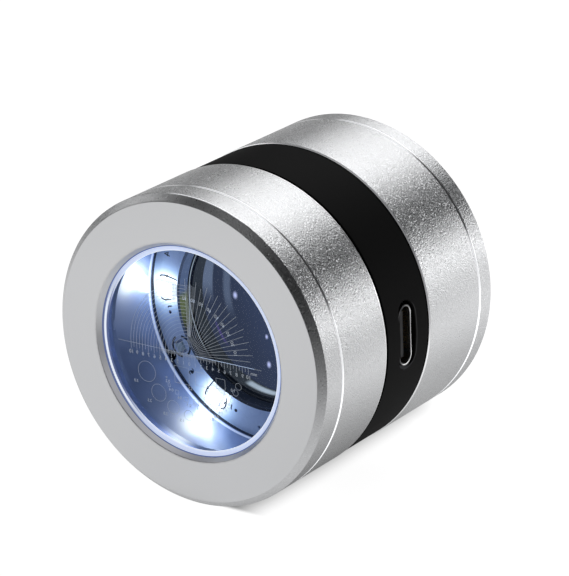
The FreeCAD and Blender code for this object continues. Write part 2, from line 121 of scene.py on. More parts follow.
# %% [markdown]
# ## Grids of faces
#
# A surface that is worked out on a grid needs its faces only once: each face joins a point, its
# neighbour in the row and the two in the next row. A turned piece closes on itself in both directions.
# A new object gets all its points at once. Points that coincide are merged and the faces are turned
# outwards, which is what a slicer or a game engine expects.

# %% Faces, joined parts and new pieces
def grid_faces(rows, columns, closed_rows):
    """Four-sided faces of a grid of rows times columns points, numbered row by row; each row closes."""
    row = np.arange(rows if closed_rows else rows - 1)[:, None]
    column = np.arange(columns)[None, :]
    next_row = (row + 1) % rows
    next_column = (column + 1) % columns
    corners = [
        row * columns + column,
        row * columns + next_column,
        next_row * columns + next_column,
        next_row * columns + column,
    ]
    return np.stack(np.broadcast_arrays(*corners), axis=-1).reshape(-1, 4)


def join(parts):
    """One set of points and faces made from several."""
    points = np.concatenate([part[0] for part in parts])
    starts = np.cumsum([0] + [len(part[0]) for part in parts[:-1]])
    faces = [
        [corner + start for corner in face] for start, part in zip(starts, parts) for face in part[1]
    ]
    return points, faces


SMOOTH_ANGLE = math.radians(35)


def new_piece(name, parts, finish, body):
    """A mesh object from parts, with its faces outwards, that rides on a body."""
    points, faces = join(parts)
    mesh = bpy.data.meshes.new(name)
    mesh.from_pydata(points, [], faces)
    work = bmesh.new()
    work.from_mesh(mesh)
    bmesh.ops.remove_doubles(work, verts=work.verts, dist=MM / 2000)
    bmesh.ops.recalc_face_normals(work, faces=work.faces)
    work.to_mesh(mesh)
    work.free()
    mesh.shade_smooth()
    mesh.set_sharp_from_angle(angle=SMOOTH_ANGLE)
    mesh.materials.append(finish)
    piece = bpy.data.objects.new(name, mesh)
    bpy.context.scene.collection.objects.link(piece)
    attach(piece, body)
    print(name, len(mesh.vertices), "points", len(mesh.polygons), "faces")
    return piece


# %% [markdown]
# ## Shader sums that read like sums
#
# A shader is a formula, but as boxes and wires it is hard to read back. A small class wraps one
# output of a node. When two of them are added or multiplied, it adds the Math node, so that a mask can
# be written as `inside * (1 - rim)`. Every other node comes from one method, which sets the node's
# choices first and its inputs after that. On top of it stand the few things that the finishes share:
# soft edges, noise, streaks and bumps.

# %% A socket that can be used in sums
def sum_method(operation, swapped=False):
    """A method that adds a Math node; swapped serves the reflected forms, as in 1 - mask."""
    def method(self, other):
        pair = (other, self) if swapped else (self, other)
        return self.finish.math(operation, *pair)
    return method


class Socket:
    """One output of a shader node."""

    def __init__(self, finish, link):
        self.finish = finish
        self.link = link

    def math(self, operation, *others):
        return self.finish.math(operation, self, *others)

    __add__ = __radd__ = sum_method("ADD")
    __mul__ = __rmul__ = sum_method("MULTIPLY")
    __sub__, __rsub__ = sum_method("SUBTRACT"), sum_method("SUBTRACT", True)
    __truediv__, __rtruediv__ = sum_method("DIVIDE"), sum_method("DIVIDE", True)
    __pow__ = sum_method("POWER")
    __gt__, __lt__ = sum_method("GREATER_THAN"), sum_method("LESS_THAN")


def length_of(first, second):
    """The square root of the sum of the two squares."""
    return (first * first + second * second).math("SQRT")


print("sums of sockets ready")

# %% A material in the making
class Finish:
    """A material whose nodes are added one by one."""

    def __init__(self, name):
        self.material = bpy.data.materials.new(name)
        self.material.use_nodes = True
        self.tree = self.material.node_tree
        self.tree.nodes.clear()

    def node(self, kind, choices=None, inputs=None, output=0):
        """Adds a node: its choices or ramp stops first, then the values or links of its inputs."""
        made = self.tree.nodes.new("ShaderNode" + kind)
        for key, value in (choices or {}).items():
            if key == "stops":
                for number, (position, colour) in enumerate(value):
                    if number >= len(made.color_ramp.elements):
                        made.color_ramp.elements.new(position)
                    made.color_ramp.elements[number].position = position
                    made.color_ramp.elements[number].color = colour
            else:
                setattr(made, key, value)
        for key, value in (inputs or {}).items():
            if isinstance(value, Socket):
                self.tree.links.new(value.link, made.inputs[key])
            else:
                made.inputs[key].default_value = value
        return Socket(self, made.outputs[output])

    def math(self, operation, *values):
        return self.node("Math", {"operation": operation}, dict(enumerate(values)))

    def soft_step(self, value, low, high):
        """0 below low, 1 above high, and a smooth slope in between."""
        limits = {"Value": value, "From Min": low, "From Max": high}
        return self.node("MapRange", {"interpolation_type": "SMOOTHSTEP"}, limits)

    def band(self, value, low, high, edge):
        """1 between low and high, with soft edges."""
        return self.soft_step(value, low - edge, low + edge) * (
            1 - self.soft_step(value, high - edge, high + edge)
        )

    def blend(self, factor, first, second):
        """The first colour where the factor is 0, the second where it is 1."""
        return self.node("Mix", {"data_type": "RGBA"}, {0: factor, 6: first, 7: second}, 2)

    def blend_value(self, factor, first, second):
        """The first value where the factor is 0, the second where it is 1."""
        return self.node("Mix", {"data_type": "FLOAT"}, {0: factor, 2: first, 3: second})

    def mix(self, factor, first, second):
        """The first shader where the factor is 0, the second where it is 1."""
        return self.node("MixShader", None, {0: factor, 1: first, 2: second})

    def noise(self, scale, detail, roughness, place=None):
        """Noise with about this many lumps to a metre, from 0 to 1."""
        return self.node("TexNoise", None, {
            "Scale": scale, "Detail": detail, "Roughness": roughness, "Vector": place or self.spot,
        })

    def streaks(self, along, angle, turns, scale):
        """Noise drawn out along the axis; the angle goes round a circle, so it closes on itself."""
        line_place = self.node("CombineXYZ", None, {
            0: along, 1: angle.math("COSINE") * turns, 2: angle.math("SINE") * turns,
        })
        return self.noise(scale, 3.0, 0.6, line_place)

    def side(self, angle, degrees, start, full):
        """1 on the side of that direction; start and full are cosines of the angle from it."""
        return self.soft_step((angle - math.radians(degrees)).math("COSINE"), start, full)

    def dim(self, colour, level):
        """The colour times a level."""
        grey = self.node("CombineColor", None, {0: level, 1: level, 2: level})
        choices = {"data_type": "RGBA", "blend_type": "MULTIPLY"}
        return self.node("Mix", choices, {0: 1.0, 6: colour, 7: grey}, 2)

    def bump(self, height):
        """Normals from a height in metres."""
        return self.node("Bump", None, {"Strength": 1.0, "Distance": 1.0, "Height": height})

    @property
    def spot(self):
        """The place on the object, in metres."""
        return self.node("TexCoord", None, None, "Object")

    def round_place(self):
        """Station and radius in millimetres and the angle round the axis in radians."""
        spot = self.spot
        x, y, z = (self.node("SeparateXYZ", None, {0: spot}, axis) for axis in "XYZ")
        x = x / MM
        z = z / MM - BARREL
        return y / MM + LENGTH / 2, length_of(x, z), z.math("ARCTAN2", x)

    def surface(self, **inputs):
        """A Principled surface, with input names written with _ for a space. A glow has the strength
        1 where no other is given."""
        named = {key.replace("_", " "): value for key, value in inputs.items()}
        if "Emission Color" in named:
            named.setdefault("Emission Strength", 1.0)
        return self.node("BsdfPrincipled", None, named)

    def done(self, shader):
        """Connects the shader and gives the material."""
        output = self.tree.nodes.new("ShaderNodeOutputMaterial")
        self.tree.links.new(shader.link, output.inputs["Surface"])
        return self.material


print("shader tools ready")

# %% [markdown]
# ## Light pools
#
# The six lamps light the ring board and the polished wall of the chamber. Light that bounces to and fro
# in a small bright box takes many samples to settle, so each lit surface also gets a soft glow of its
# own. The glow is a pool round each lamp: the angle is folded into one sixth of a turn, and the
# brightness falls as the exponential of minus the squared distance over the squared width.
#
# The polished wall also mirrors the lamps as small burnt-out patches. They are as hard to settle, so
# they are laid on the wall too, each at its own station and angle and with its own two widths.

# %% The glow of the lamps
LAMP_STEP = 2 * math.pi / LAMP_COUNT
LAMP_ANGLES = LAMP_TURN + LAMP_STEP * np.arange(LAMP_COUNT)
COOL_LIGHT = (0.34, 0.50, 1.0, 1)
WHITE_LIGHT = (0.88, 0.94, 1.0, 1)
WALL_LINE = (16.35, 16.85)
WALL_SHADE_BAND = (17.0, 17.8)
GLARES = [  # station, degrees, width along the axis, width across it, strength
    (12.1, 172.5, 3.0, 2.1, 1.2),
    (12.3, -114.5, 2.3, 2.4, 1.0),
    (8.4, -112.0, 2.2, 2.4, 0.30),
    (3.8, -105.0, 2.4, 3.3, 0.9),
]


def hill(first, second):
    """The exponential of minus the sum of the squares: 1 in the middle and 0 far away."""
    return (0 - (first * first + second * second)).math("EXPONENT")


def lamp_pool(angle, along, circle, width_round, width_along):
    """Brightness round each lamp: along is the distance in millimetres in the other direction, and
    the circle is the radius that turns the folded angle into millimetres."""
    turned = angle - LAMP_TURN + 4 * LAMP_STEP + LAMP_STEP / 2
    folded = turned.math("MODULO", LAMP_STEP) - LAMP_STEP / 2
    return hill(folded * circle / width_round, along / width_along)


def glare(station, angle, middle, degrees, width_along, width_across, strength):
    """A burnt-out patch on the wall, only on its own half of it."""
    away = angle - math.radians(degrees)
    patch = hill((station - middle) / width_along, away.math("SINE") * CHAMBER / width_across)
    return patch * (away.math("COSINE") > 0.0) * strength


def wall_end(finish, station):
    """Painted shade: a dark band where the wall ends, next to the board."""
    return finish.band(station, *WALL_SHADE_BAND, 0.1) * 0.9


def wall_glow(finish, station, angle):
    """Cool light on the chamber wall, with streaks along the axis and a bright line near the board."""
    halo = lamp_pool(angle, station - 11.5, CHAMBER, 4.5, 5.5)
    streaks = finish.streaks(station * 0.06, angle, 3, 2.2)
    line = finish.band(station, *WALL_LINE, 0.08)
    plain = 0.060 + finish.soft_step(station, 6.0, 16.0) * 0.06
    level = halo * 0.20 + plain * (0.4 + streaks * 1.2) + line * (0.35 + halo)
    burnt = sum(glare(station, angle, *patch) for patch in GLARES)
    white = (halo * 0.4 + line * 0.6 + burnt).math("MINIMUM", 1.0)
    light = finish.blend(white, COOL_LIGHT, WHITE_LIGHT)
    return finish.dim(light, (level + burnt) * (1 - wall_end(finish, station)))


print("lamps at", np.degrees(LAMP_ANGLES).round(1))

# %% [markdown]
# ## Blasted aluminium
#
# The barrel is aluminium that was blasted with fine glass beads and then anodised. The beads leave
# dents a fifth of a millimetre wide, so the metal is dull from afar and glitters from near by. A bump
# alone looks like sand, so the grain also goes into the colour and the roughness. A few facets stand
# just right and flash. They show only where the metal is dark, so they are added as sparks of light
# there, at the peaks of a noise, and the bright stripes stay clean.
#
# Edges that were turned after the blasting are bright and smooth. The base face, the edge bevels and
# the light chamber are such places, and a mask made from station and radius finds them. A turned edge
# this thin is a bright line where it faces a soft box, so it also gets a little light of its own.

# %% Aluminium: sizes and colours
ALUMINIUM = (0.600, 0.605, 0.615, 1)
CUT_EDGE = (0.92, 0.92, 0.93, 1)
# The chamber wall's blue base colour is painted light from the cool lamps.
COOL_LIT_WALL = (0.32, 0.37, 0.50, 1)
EDGE_LIGHT = (0.62, 0.63, 0.65, 1)
MOUTH_LIGHT = (0.30, 0.30, 0.32, 1)
SPARK_LIGHT = (0.97, 0.98, 1.0, 1)
MOUTH_BEVEL = (15.22, 15.69)
MOUTH_DEPTH = 0.75
BEVEL_DEPTH = 0.93
OUTSIDE = BARREL - 0.3
GRAIN_PER_METRE = 4600
CLUMPS_PER_METRE = 900
SPARKS_PER_METRE = 4200
DENT_DEPTH = 0.00006
CLUMP_DEPTH = 0.00001
SPARKS = 0.52
print("dents:", GRAIN_PER_METRE, "to a metre,", DENT_DEPTH / MM, "mm deep")

# %% Aluminium: turned edges and sparks
def seam_edges(finish, station, radius):
    """The small bevels that face the base end, behind each of the two seams."""
    seam = finish.band(station, RING_END - 0.02, RING_END + 0.26, 0.04)
    back_seam = finish.band(station, REAR_END + 0.02, REAR_END + 0.32, 0.04)
    return (radius > OUTSIDE) * (seam + back_seam)


def turned_bevels(finish, station, radius):
    """The turned edges beside the black band and beside the two seams."""
    front = finish.band(station, BAND_START - 0.38, BAND_START + 0.1, 0.05)
    rear = finish.band(station, BAND_END - 0.1, BAND_END + 0.24, 0.05)
    edges = (radius > OUTSIDE) * (front + rear)
    return finish.math("MINIMUM", edges + seam_edges(finish, station, radius), 1.0)


def base_face(finish, station, radius):
    """The flat base face and the bevel of the window's mouth, and in part the outer bevel."""
    flat = (station < 0.05) + (radius < 15.9) * (station < MOUTH_DEPTH)
    return finish.math("MAXIMUM", flat, (station < BEVEL_DEPTH) * 0.15)


def sparks(finish, station, radius, degrees, turns):
    """Flashing facets. A piece that turns has them alike all round, and the others have them where
    they lie between the soft boxes."""
    if turns:
        dark = 0.35
    else:
        dark = finish.band(degrees, 25.0, 60.0, 10.0) + finish.band(degrees, 88.0, 124.0, 8.0) * 0.6
        dark = finish.blend_value(station < BEVEL_DEPTH, dark, 0.12)
    facets = finish.noise(SPARKS_PER_METRE, 0.0, 0.5)
    return finish.soft_step(facets, 0.58, 0.82) * (radius > BARREL - 1.0) * SPARKS * dark


def edge_lines(finish, station, radius, degrees):
    """The lit part of the seams' bevels, and a short line where the base bevel ends, near the top."""
    unlit = finish.band(degrees, 25.0, 61.0, 5.0) + finish.soft_step(degrees, 91.0, 99.0) * 0.85
    seams = seam_edges(finish, station, radius) * (1 - unlit)
    bevel_end = finish.band(station, 0.90, 1.06, 0.03) * (radius > BARREL - 0.1)
    return seams + bevel_end * finish.band(degrees, 68.0, 98.0, 4.0)


print("turned edges at stations", RING_END, BAND_START, BAND_END, REAR_END)

# %% Aluminium: the finish
def blasted(name, polished=None, smooth=None, roughness=0.36, grain=1.0, chamber=False, turns=False):
    """Blasted metal: polished and smooth are functions of (finish, station, radius) that give masks.
    With chamber, everything within the chamber's radius is a polished wall with the lamps' glow."""
    finish = Finish(name)
    station, radius, angle = finish.round_place()
    fine = finish.noise(GRAIN_PER_METRE, 1.0, 0.6)
    clumps = finish.noise(CLUMPS_PER_METRE, 3.0, 0.6)
    bright = polished(finish, station, radius) if polished else 0.0
    even = smooth(finish, station, radius) if smooth else 0.0
    wall = (radius < CHAMBER + 0.15) * (station > 0.8) if chamber else 0.0
    depth = grain * (1 - finish.math("MAXIMUM", finish.math("MAXIMUM", bright, even), wall))
    shade = 1 + ((fine - 0.5) * 0.12 + (clumps - 0.5) * 0.08) * depth
    base = finish.blend(bright, finish.dim(ALUMINIUM, shade), CUT_EDGE)
    rough = finish.math("MULTIPLY_ADD", depth, -0.05, roughness) + (fine - 0.5) * 0.35 * depth
    rough = rough * (1 - finish.math("MULTIPLY", bright, 0.2))
    glow = (0, 0, 0, 1)
    if chamber:
        # Painted shade darkens the wall's base colour at its end.
        base = finish.blend(wall, base, finish.dim(COOL_LIT_WALL, 1 - wall_end(finish, station)))
        rough = rough * (1 - wall * 0.22)
        glow = finish.dim(wall_glow(finish, station, angle), wall)
        mouth = finish.band(radius, *MOUTH_BEVEL, 0.03) * (station < MOUTH_DEPTH)
        glow = finish.blend(mouth * finish.side(angle, 235, 0.6, 0.97), glow, MOUTH_LIGHT)
    if polished:
        degrees = angle * (180 / math.pi)
        glow = finish.blend(sparks(finish, station, radius, degrees, turns) * depth, glow, SPARK_LIGHT)
        rear_edge = finish.band(station, BAND_END - 0.05, BAND_END + 0.22, 0.04)
        glow = finish.blend(rear_edge * (radius > OUTSIDE) * 0.28, glow, EDGE_LIGHT)
        glow = finish.blend(edge_lines(finish, station, radius, degrees), glow, EDGE_LIGHT)
    height = (fine * DENT_DEPTH + clumps * CLUMP_DEPTH) * depth
    return finish.done(finish.surface(
        Base_Color=base, Roughness=rough, Metallic=1.0, Normal=finish.bump(height),
        Emission_Color=glow,
    ))


barrel_finish = blasted("blasted_aluminium", turned_bevels)
ring_finish = blasted("blasted_front_ring", turned_bevels, base_face, roughness=0.37, chamber=True)
chamber_finish = blasted("front_barrel_and_chamber", turned_bevels, chamber=True)
grip_finish = blasted("blasted_focus_ring", turned_bevels, turns=True)
plate_finish = blasted("blasted_face_plate", None, lambda f, s, r: r < CONE + 0.02, grain=0.8)
print("aluminium finishes:", barrel_finish.name, ring_finish.name, chamber_finish.name)

# %% [markdown]
# ## Plain materials with a grain
#
# Plastics, rubber, copper and the like share one recipe: a base colour that wanders a little, a
# roughness that wanders with it, and a shallow grain. Only the numbers differ, so one function makes
# them all. The numbers are what a maker would say: how dark, how dull, how coarse.

# %% One recipe for the plain materials
def grained(name, colour, roughness, metallic, grain, depth, spread=0.25, shine=0.5):
    """A colour and a roughness that wander by the spread, over a grain of that many lumps a metre."""
    finish = Finish(name)
    fine = finish.noise(grain, 3.0, 0.6)
    broad = finish.noise(grain / 12, 2.0, 0.5)
    darker = tuple(channel * (1 - spread) for channel in colour)
    lighter = tuple(min(1.0, channel * (1 + spread)) for channel in colour)
    base = finish.blend(fine * 0.6 + broad * 0.4, (*darker, 1), (*lighter, 1))
    return finish.done(finish.surface(
        Base_Color=base, Roughness=roughness + (broad - 0.5) * 0.2, Metallic=metallic,
        Specular_IOR_Level=shine, Normal=finish.bump(fine * depth),
    ))


PLAIN = {  # name, colour, roughness, metal, lumps to a metre, depth, spread, shine
    "black_aluminium": ("black_anodised_tube", (0.030, 0.036, 0.050), 0.30, 0.5, 2600, 1.2e-6),
    "black_plastic": (
        "matt_black_plastic", (0.0075, 0.0075, 0.008), 0.5, 0.0, 5200, 6e-6, 0.2, 0.12
    ),
    "green_board": ("battery_board_green", (0.02, 0.14, 0.06), 0.35, 0.0, 1800, 8e-6, 0.3),
    "chip_black": ("moulded_chip", (0.016, 0.016, 0.018), 0.55, 0.0, 4000, 6e-6, 0.3),
    "capacitor_tan": ("ceramic_capacitor", (0.42, 0.30, 0.17), 0.4, 0.0, 3000, 5e-6, 0.2),
    "spring_steel": ("spring_steel", (0.62, 0.62, 0.63), 0.24, 1.0, 2200, 4e-6, 0.12),
    "contact_gold": ("gold_contacts", (0.90, 0.66, 0.26), 0.2, 1.0, 3000, 3e-6, 0.1),
    "switch_plastic": ("switch_plastic", (0.55, 0.55, 0.52), 0.42, 0.0, 2500, 6e-6, 0.12),
    "rubber_black": ("rubber_ring", (0.016, 0.016, 0.017), 0.62, 0.0, 3500, 1e-5, 0.3),
    "battery_foil": ("battery_foil", (0.60, 0.60, 0.62), 0.38, 0.9, 700, 4e-5, 0.15),
    "foam_grey": ("foam_strip", (0.10, 0.10, 0.105), 0.9, 0.0, 1600, 9e-5, 0.5),
    "lead_red": ("red_lead", (0.55, 0.02, 0.015), 0.42, 0.0, 1500, 6e-6, 0.15),
    "lead_black": ("black_lead", (0.018, 0.018, 0.02), 0.42, 0.0, 1500, 6e-6, 0.25),
}
finishes = {slot: grained(*numbers) for slot, numbers in PLAIN.items()}
finishes["anodised_aluminium"] = barrel_finish
print("plain finishes:", len(finishes))

# %% [markdown]
# ## The black band
#
# The band is matt plastic. Its edges turn down into the gaps beside the metal and are painted darker
# as shade. Round the port's opening a painted highlight draws a fine moulded rim on the far and low
# side.
# The rim is found as the distance from a stadium: the sideways place is first shortened by half the
# straight part, and the length of what is left is the distance from the stadium's middle line. The
# port's steel shell, further down, finds its mouth in the same way.

# %% Band plastic with a rim round the opening
OPENING_LONG = 10.0
OPENING_WIDE = 4.3
BAND_TINT = (1.0, 1.0, 1.06, 1)
BAND_GAP_SHADE = (0.4, 0.4, 0.42, 1)
RIM_LIGHT = (0.030, 0.031, 0.033, 1)


def port_place(station, radius, angle, long, wide):
    """Places from the port's middle: sideways, along the axis, and the distance from the middle line
    of a stadium of that length and width."""
    sideways = (angle - PORT_LIFT) * radius
    along = station - PORT_STATION
    beyond = (sideways.math("ABSOLUTE") - (long - wide) / 2).math("MAXIMUM", 0.0)
    return sideways, along, length_of(beyond, along)


def band_plastic():
    finish = Finish("matt_black_band")
    station, radius, angle = finish.round_place()
    fine = finish.noise(5200, 3.0, 0.6)
    edge = finish.band(station, BAND_START + 0.42, BAND_END - 0.3, 0.08)
    sideways, along, distance = port_place(station, radius, angle, OPENING_LONG, OPENING_WIDE)
    # Painted highlight on the far and the low side of the rim round the port's opening.
    rim = finish.band(distance, OPENING_WIDE / 2, OPENING_WIDE / 2 + 0.12, 0.05)
    seen = finish.soft_step(along - sideways * 0.25, 0.3, 1.4) * (angle.math("ABSOLUTE") < 0.5)
    # Painted shade: the band is darker towards its edges, and the gaps beside them darker still.
    level = (0.0045 + (fine - 0.5) * 0.003) * (0.25 + edge * 0.75)
    face = finish.surface(
        Base_Color=finish.dim(BAND_TINT, level), Roughness=0.6 + fine * 0.1, IOR=1.2,
        Specular_IOR_Level=0.3, Normal=finish.bump(fine * 0.000006),
        Emission_Color=finish.dim(RIM_LIGHT, rim * seen),
    )
    gap = finish.node("BsdfDiffuse", None, {"Color": finish.dim(BAND_GAP_SHADE, level)})
    return finish.done(finish.mix(edge, gap, face))


band_finish = band_plastic()
print("band:", band_finish.name)

# %% [markdown]
# ## The black tube
#
# The lens cell reaches through the board as a short hood, so it is lit on the side that the window
# The threaded ring in front of the lens has a painted highlight on its front edge and a painted streak
# of light low in its bore.
# Each place is a band of radius or station, kept to one side by the cosine of the angle.

# %% Hood and threaded ring
TUBE_BLACK = (0.016, 0.021, 0.032, 1)
HOOD_LIGHT = (0.36, 0.52, 0.95, 1)
PHOSPHOR_LIGHT = (0.60, 0.72, 0.16, 1)
RING_EDGE_HIGHLIGHT = (0.72, 0.86, 1.0, 1)
HOOD_BORE = 13.95
RING_BORE = 12.9


def tube_finish(name, light):
    """Black anodised metal; light is a function of (finish, station, radius, angle, streaks) that
    gives its glow."""
    finish = Finish(name)
    station, radius, angle = finish.round_place()
    fine = finish.noise(2600, 3.0, 0.6)
    streaks = finish.streaks(station * 0.04, angle, 4, 1.6)
    return finish.done(finish.surface(
        Base_Color=finish.dim(TUBE_BLACK, 0.7 + streaks * 0.6), Roughness=0.3 + fine * 0.1,
        Metallic=0.5, Normal=finish.bump(fine * 0.0000015),
        Emission_Color=light(finish, station, radius, angle, 0.6 + streaks * 0.8),
    ))


def hood_light(finish, station, radius, angle, streaks):
    """Cool light in the hood's bore, with a yellow-green patch that the phosphor throws."""
    bore = (radius < HOOD_BORE) * (station < 18.6)
    front = (radius > HOOD_BORE) * (station < 18.0)
    level = bore * (0.02 + finish.side(angle, 163, 0.72, 0.98) * 0.20) * streaks
    level = level + front * finish.side(angle, 165, 0.2, 0.9) * 0.10
    patch = finish.side(angle, -169, 0.975, 0.992) * bore
    return finish.dim(finish.blend(patch * 0.8, HOOD_LIGHT, PHOSPHOR_LIGHT), level)


def ring_light(finish, station, radius, angle, streaks):
    """Painted highlights: a line on the front face, brighter on one side, and a streak low in the bore.
    """
    front = (station < 18.53) * finish.band(radius, 13.40, 13.56, 0.04)
    line = front * (0.03 + finish.side(angle, -176, 0.72, 0.96) * 0.36)
    streak = finish.band(station, 19.3, 20.5, 0.35) * finish.side(angle, -97, 0.972, 0.99) * 0.5
    return finish.dim(RING_EDGE_HIGHLIGHT, line + (radius < RING_BORE + 0.05) * (streak + 0.03) * streaks)


hood_finish = tube_finish("black_hood", hood_light)
lens_ring_finish = tube_finish("black_lens_ring", ring_light)
print("tube:", hood_finish.name, lens_ring_finish.name)

# %% [markdown]
# ## The ring board
#
# The lamp board is white lacquer over copper. Where a copper area ends, the lacquer shows a faint step.
# Near each lamp the white is burnt out by the light, and between the lamps it falls to a cool blue. The
# glow's colour comes from a ramp on the lamps' pools.

# %% White lacquer lit by lamps
GLOW_RAMP = [
    (0.0, (0.30, 0.46, 0.95, 1)), (0.35, (0.42, 0.62, 0.98, 1)), (0.8, (0.85, 0.95, 1.0, 1)),
]


def board_finish():
    finish = Finish("white_board_lacquer")
    station, radius, angle = finish.round_place()
    near = lamp_pool(angle, radius - LAMP_CIRCLE, LAMP_CIRCLE, 2.5, 3.2)
    wide = lamp_pool(angle, radius - LAMP_CIRCLE, LAMP_CIRCLE, 6.8, 8.0)
    grain = finish.noise(2500, 3.0, 0.6)
    copper = finish.soft_step(finish.noise(260, 1.0, 0.4), 0.49, 0.51)
    lacquer = finish.blend(grain, (0.50, 0.58, 0.70, 1), (0.62, 0.70, 0.80, 1))
    front = station < BOARD_FRONT + 0.1
    level = front * (near * 2.4 + wide * 0.20 + 0.06) * (0.93 + copper * 0.07)
    glow = finish.node("ValToRGB", {"stops": GLOW_RAMP}, {0: near + wide * 0.2})
    return finish.done(finish.surface(
        Base_Color=lacquer, Roughness=0.35 + grain * 0.1,
        Normal=finish.bump(copper * 0.00003 + grain * 0.000004),
        Emission_Color=finish.dim(glow, level),
    ))


finishes["white_board"] = board_finish()
print("board:", finishes["white_board"].name)

# %% [markdown]
# ## Glass
#
# The window is flat glass. A full glass shader bends every ray and hides the lit box behind noise, so
# here light passes straight through, and Schlick's rule mixes in the reflection: a few percent when we
# look straight at it, much more at a slant. The rule works alike on the glass's front and back. The
# window has a coating that mirrors nothing straight on.
#
# The lenses carry a coating that reflects a cool tint. Seen at a slant from the base, a real lens pair
# shows its own blackened edge and not the view behind, so there their flat faces turn to dark glass.
# Each glass face carries a painted reflection of the lit ring board, a faint ghost: part of a ring with
# a shifted centre.

# %% Window glass
def mirror_share(finish, straight_on):
    """Schlick's rule: the share seen straight on, plus the rest times (1 - cosine) to the fifth."""
    facing = finish.node("LayerWeight", None, {"Blend": 0.5}, "Facing")
    return straight_on + facing ** 5 * (1 - straight_on)


def window_glass():
    finish = Finish("window_glass")
    dust = finish.noise(900, 4.0, 0.7)
    through = finish.node("BsdfTransparent", None, {0: (0.96, 0.98, 1.0, 1)})
    shine = finish.node("BsdfGlossy", None, {
        "Color": (0.9, 0.95, 1.0, 1), "Roughness": 0.01 + dust * 0.02,
    })
    return finish.done(finish.mix(mirror_share(finish, 0.0), through, shine))


finishes["clear_glass"] = window_glass()
print("window:", finishes["clear_glass"].name)

# %% Lens glass and its ghosts
GHOST_SPOTS = [(-7.1, 0.1, 0.55), (-1.6, -5.0, 0.35), (-1.2, -9.2, 0.5)]


def ghosts(finish):
    """Painted reflections for the lens at a slant: dark blue lighter above, two ghost rings, a violet
    arc, lamp spots.
    """
    x, z = (finish.node("SeparateXYZ", None, {0: finish.spot}, axis) / MM for axis in "XZ")
    z = z - BARREL

    def far_from(x_centre, z_centre, stretch=1.0):
        return length_of(x - x_centre, (z - z_centre) * stretch)

    wide_ring = finish.band(far_from(8, 1), 19.1, 22.1, 0.15) * finish.soft_step(z, -2.5, 1.5)
    near_ring = finish.band(far_from(3.9, 1.5), 11.9, 13.1, 0.3) * finish.soft_step(z, -4.0, 0.0)
    rings = finish.math("MAXIMUM", wide_ring, near_ring * 0.7)
    upper = finish.soft_step(x + z * 0.5, -10.0, 2.0)
    colour = finish.blend(upper, (0.032, 0.042, 0.074, 1), (0.044, 0.062, 0.125, 1))
    colour = finish.blend(rings, colour, (0.12, 0.155, 0.235, 1))
    arc = finish.band(far_from(0, 0), 11.45, 11.8, 0.15) * finish.band(z, -7.6, -5.0, 0.7)
    colour = finish.blend(arc * 0.6, colour, (0.10, 0.075, 0.26, 1))
    for x_spot, z_spot, size in GHOST_SPOTS:
        spot = 1 - finish.soft_step(far_from(x_spot, z_spot, 0.7), 0.0, size)
        colour = finish.blend(spot, colour, (0.55, 0.60, 0.95, 1))
    return colour


def lens_glass():
    finish = Finish("coated_lens_glass")
    station = finish.round_place()[0]
    dust = finish.noise(700, 4.0, 0.7)
    through = finish.node("BsdfTransparent", None, {0: (0.90, 0.94, 1.0, 1)})
    coating = finish.node("BsdfGlossy", None, {
        "Color": (0.62, 0.80, 0.86, 1), "Roughness": 0.04 + dust * 0.03,
    })
    facing = finish.node("LayerWeight", None, {"Blend": 0.5}, "Facing")
    front, back = station < FIELD_LENS_FLAT + 0.05, station > EYE_LENS_FLAT - 0.05
    depth = finish.surface(
        Base_Color=(0.006, 0.009, 0.016, 1), Roughness=0.12, Specular_IOR_Level=0.0,
        Coat_Weight=back * 0.6, Emission_Color=finish.dim(ghosts(finish), front + back * 0.35),
    )
    slanted = finish.soft_step(facing, 0.10, 0.22) * (front + back)
    body = finish.mix(slanted, through, depth)
    return finish.done(finish.mix(mirror_share(finish, 0.02) * (1 - slanted), body, coating))


finishes["lens_glass"] = lens_glass()
print("lenses:", finishes["lens_glass"].name)

# %% [markdown]
# ## Glowing pieces
#
# Two kinds of piece give light. The lamps are small white housings with a window of phosphor, far
# brighter than anything else. The seal round the window is milky plastic that carries the lamps' light
# to its rim, so it glows a cool white.

# %% Lamp windows, lamp housings and the milky seal
SEAL_JOINT = (0.10, 0.14, 0.30, 1)
SEAL_RIM = (0.84, 0.90, 1.0, 1)
SEAL_GLOW = (0.60, 0.68, 0.90, 1)
SEAL_SHADE = (0.10, 0.13, 0.27, 1)


def glowing(name, colour, strength, ripple, grain):
    """A glow of that strength, with lumps that are darker by the ripple."""
    finish = Finish(name)
    lumps = finish.noise(grain, 2.0, 0.5)
    darker = tuple(channel * (1 - ripple) for channel in colour)
    shade = finish.blend(lumps, (*darker, 1), (*colour, 1))
    return finish.done(finish.surface(
        Base_Color=shade, Roughness=0.4 + lumps * 0.1,
        Emission_Color=shade, Emission_Strength=strength,
    ))


def seal_finish():
    """A dark line where the milky ring meets the metal, then a pale glow, dimmer on the left."""
    finish = Finish("milky_seal")
    radius, angle = finish.round_place()[1:]
    lumps = finish.noise(420, 2.0, 0.5)
    left = finish.side(angle, 193, 0.60, 0.96)
    inner_rim = 1 - finish.soft_step(radius, 14.45, 14.60)
    outer_rim = finish.band(radius, 14.64, 14.94, 0.06)
    rim = finish.blend_value(left, inner_rim, outer_rim)
    colour = finish.blend(rim, finish.blend(left, SEAL_GLOW, SEAL_SHADE), SEAL_RIM)
    colour = finish.blend(finish.soft_step(radius, 15.02, 15.12), colour, SEAL_JOINT)
    return finish.done(finish.surface(
        Base_Color=colour, Roughness=0.35 + lumps * 0.15, Specular_IOR_Level=0.2,
        Emission_Color=finish.dim(colour, 0.80 + lumps * 0.2),
    ))


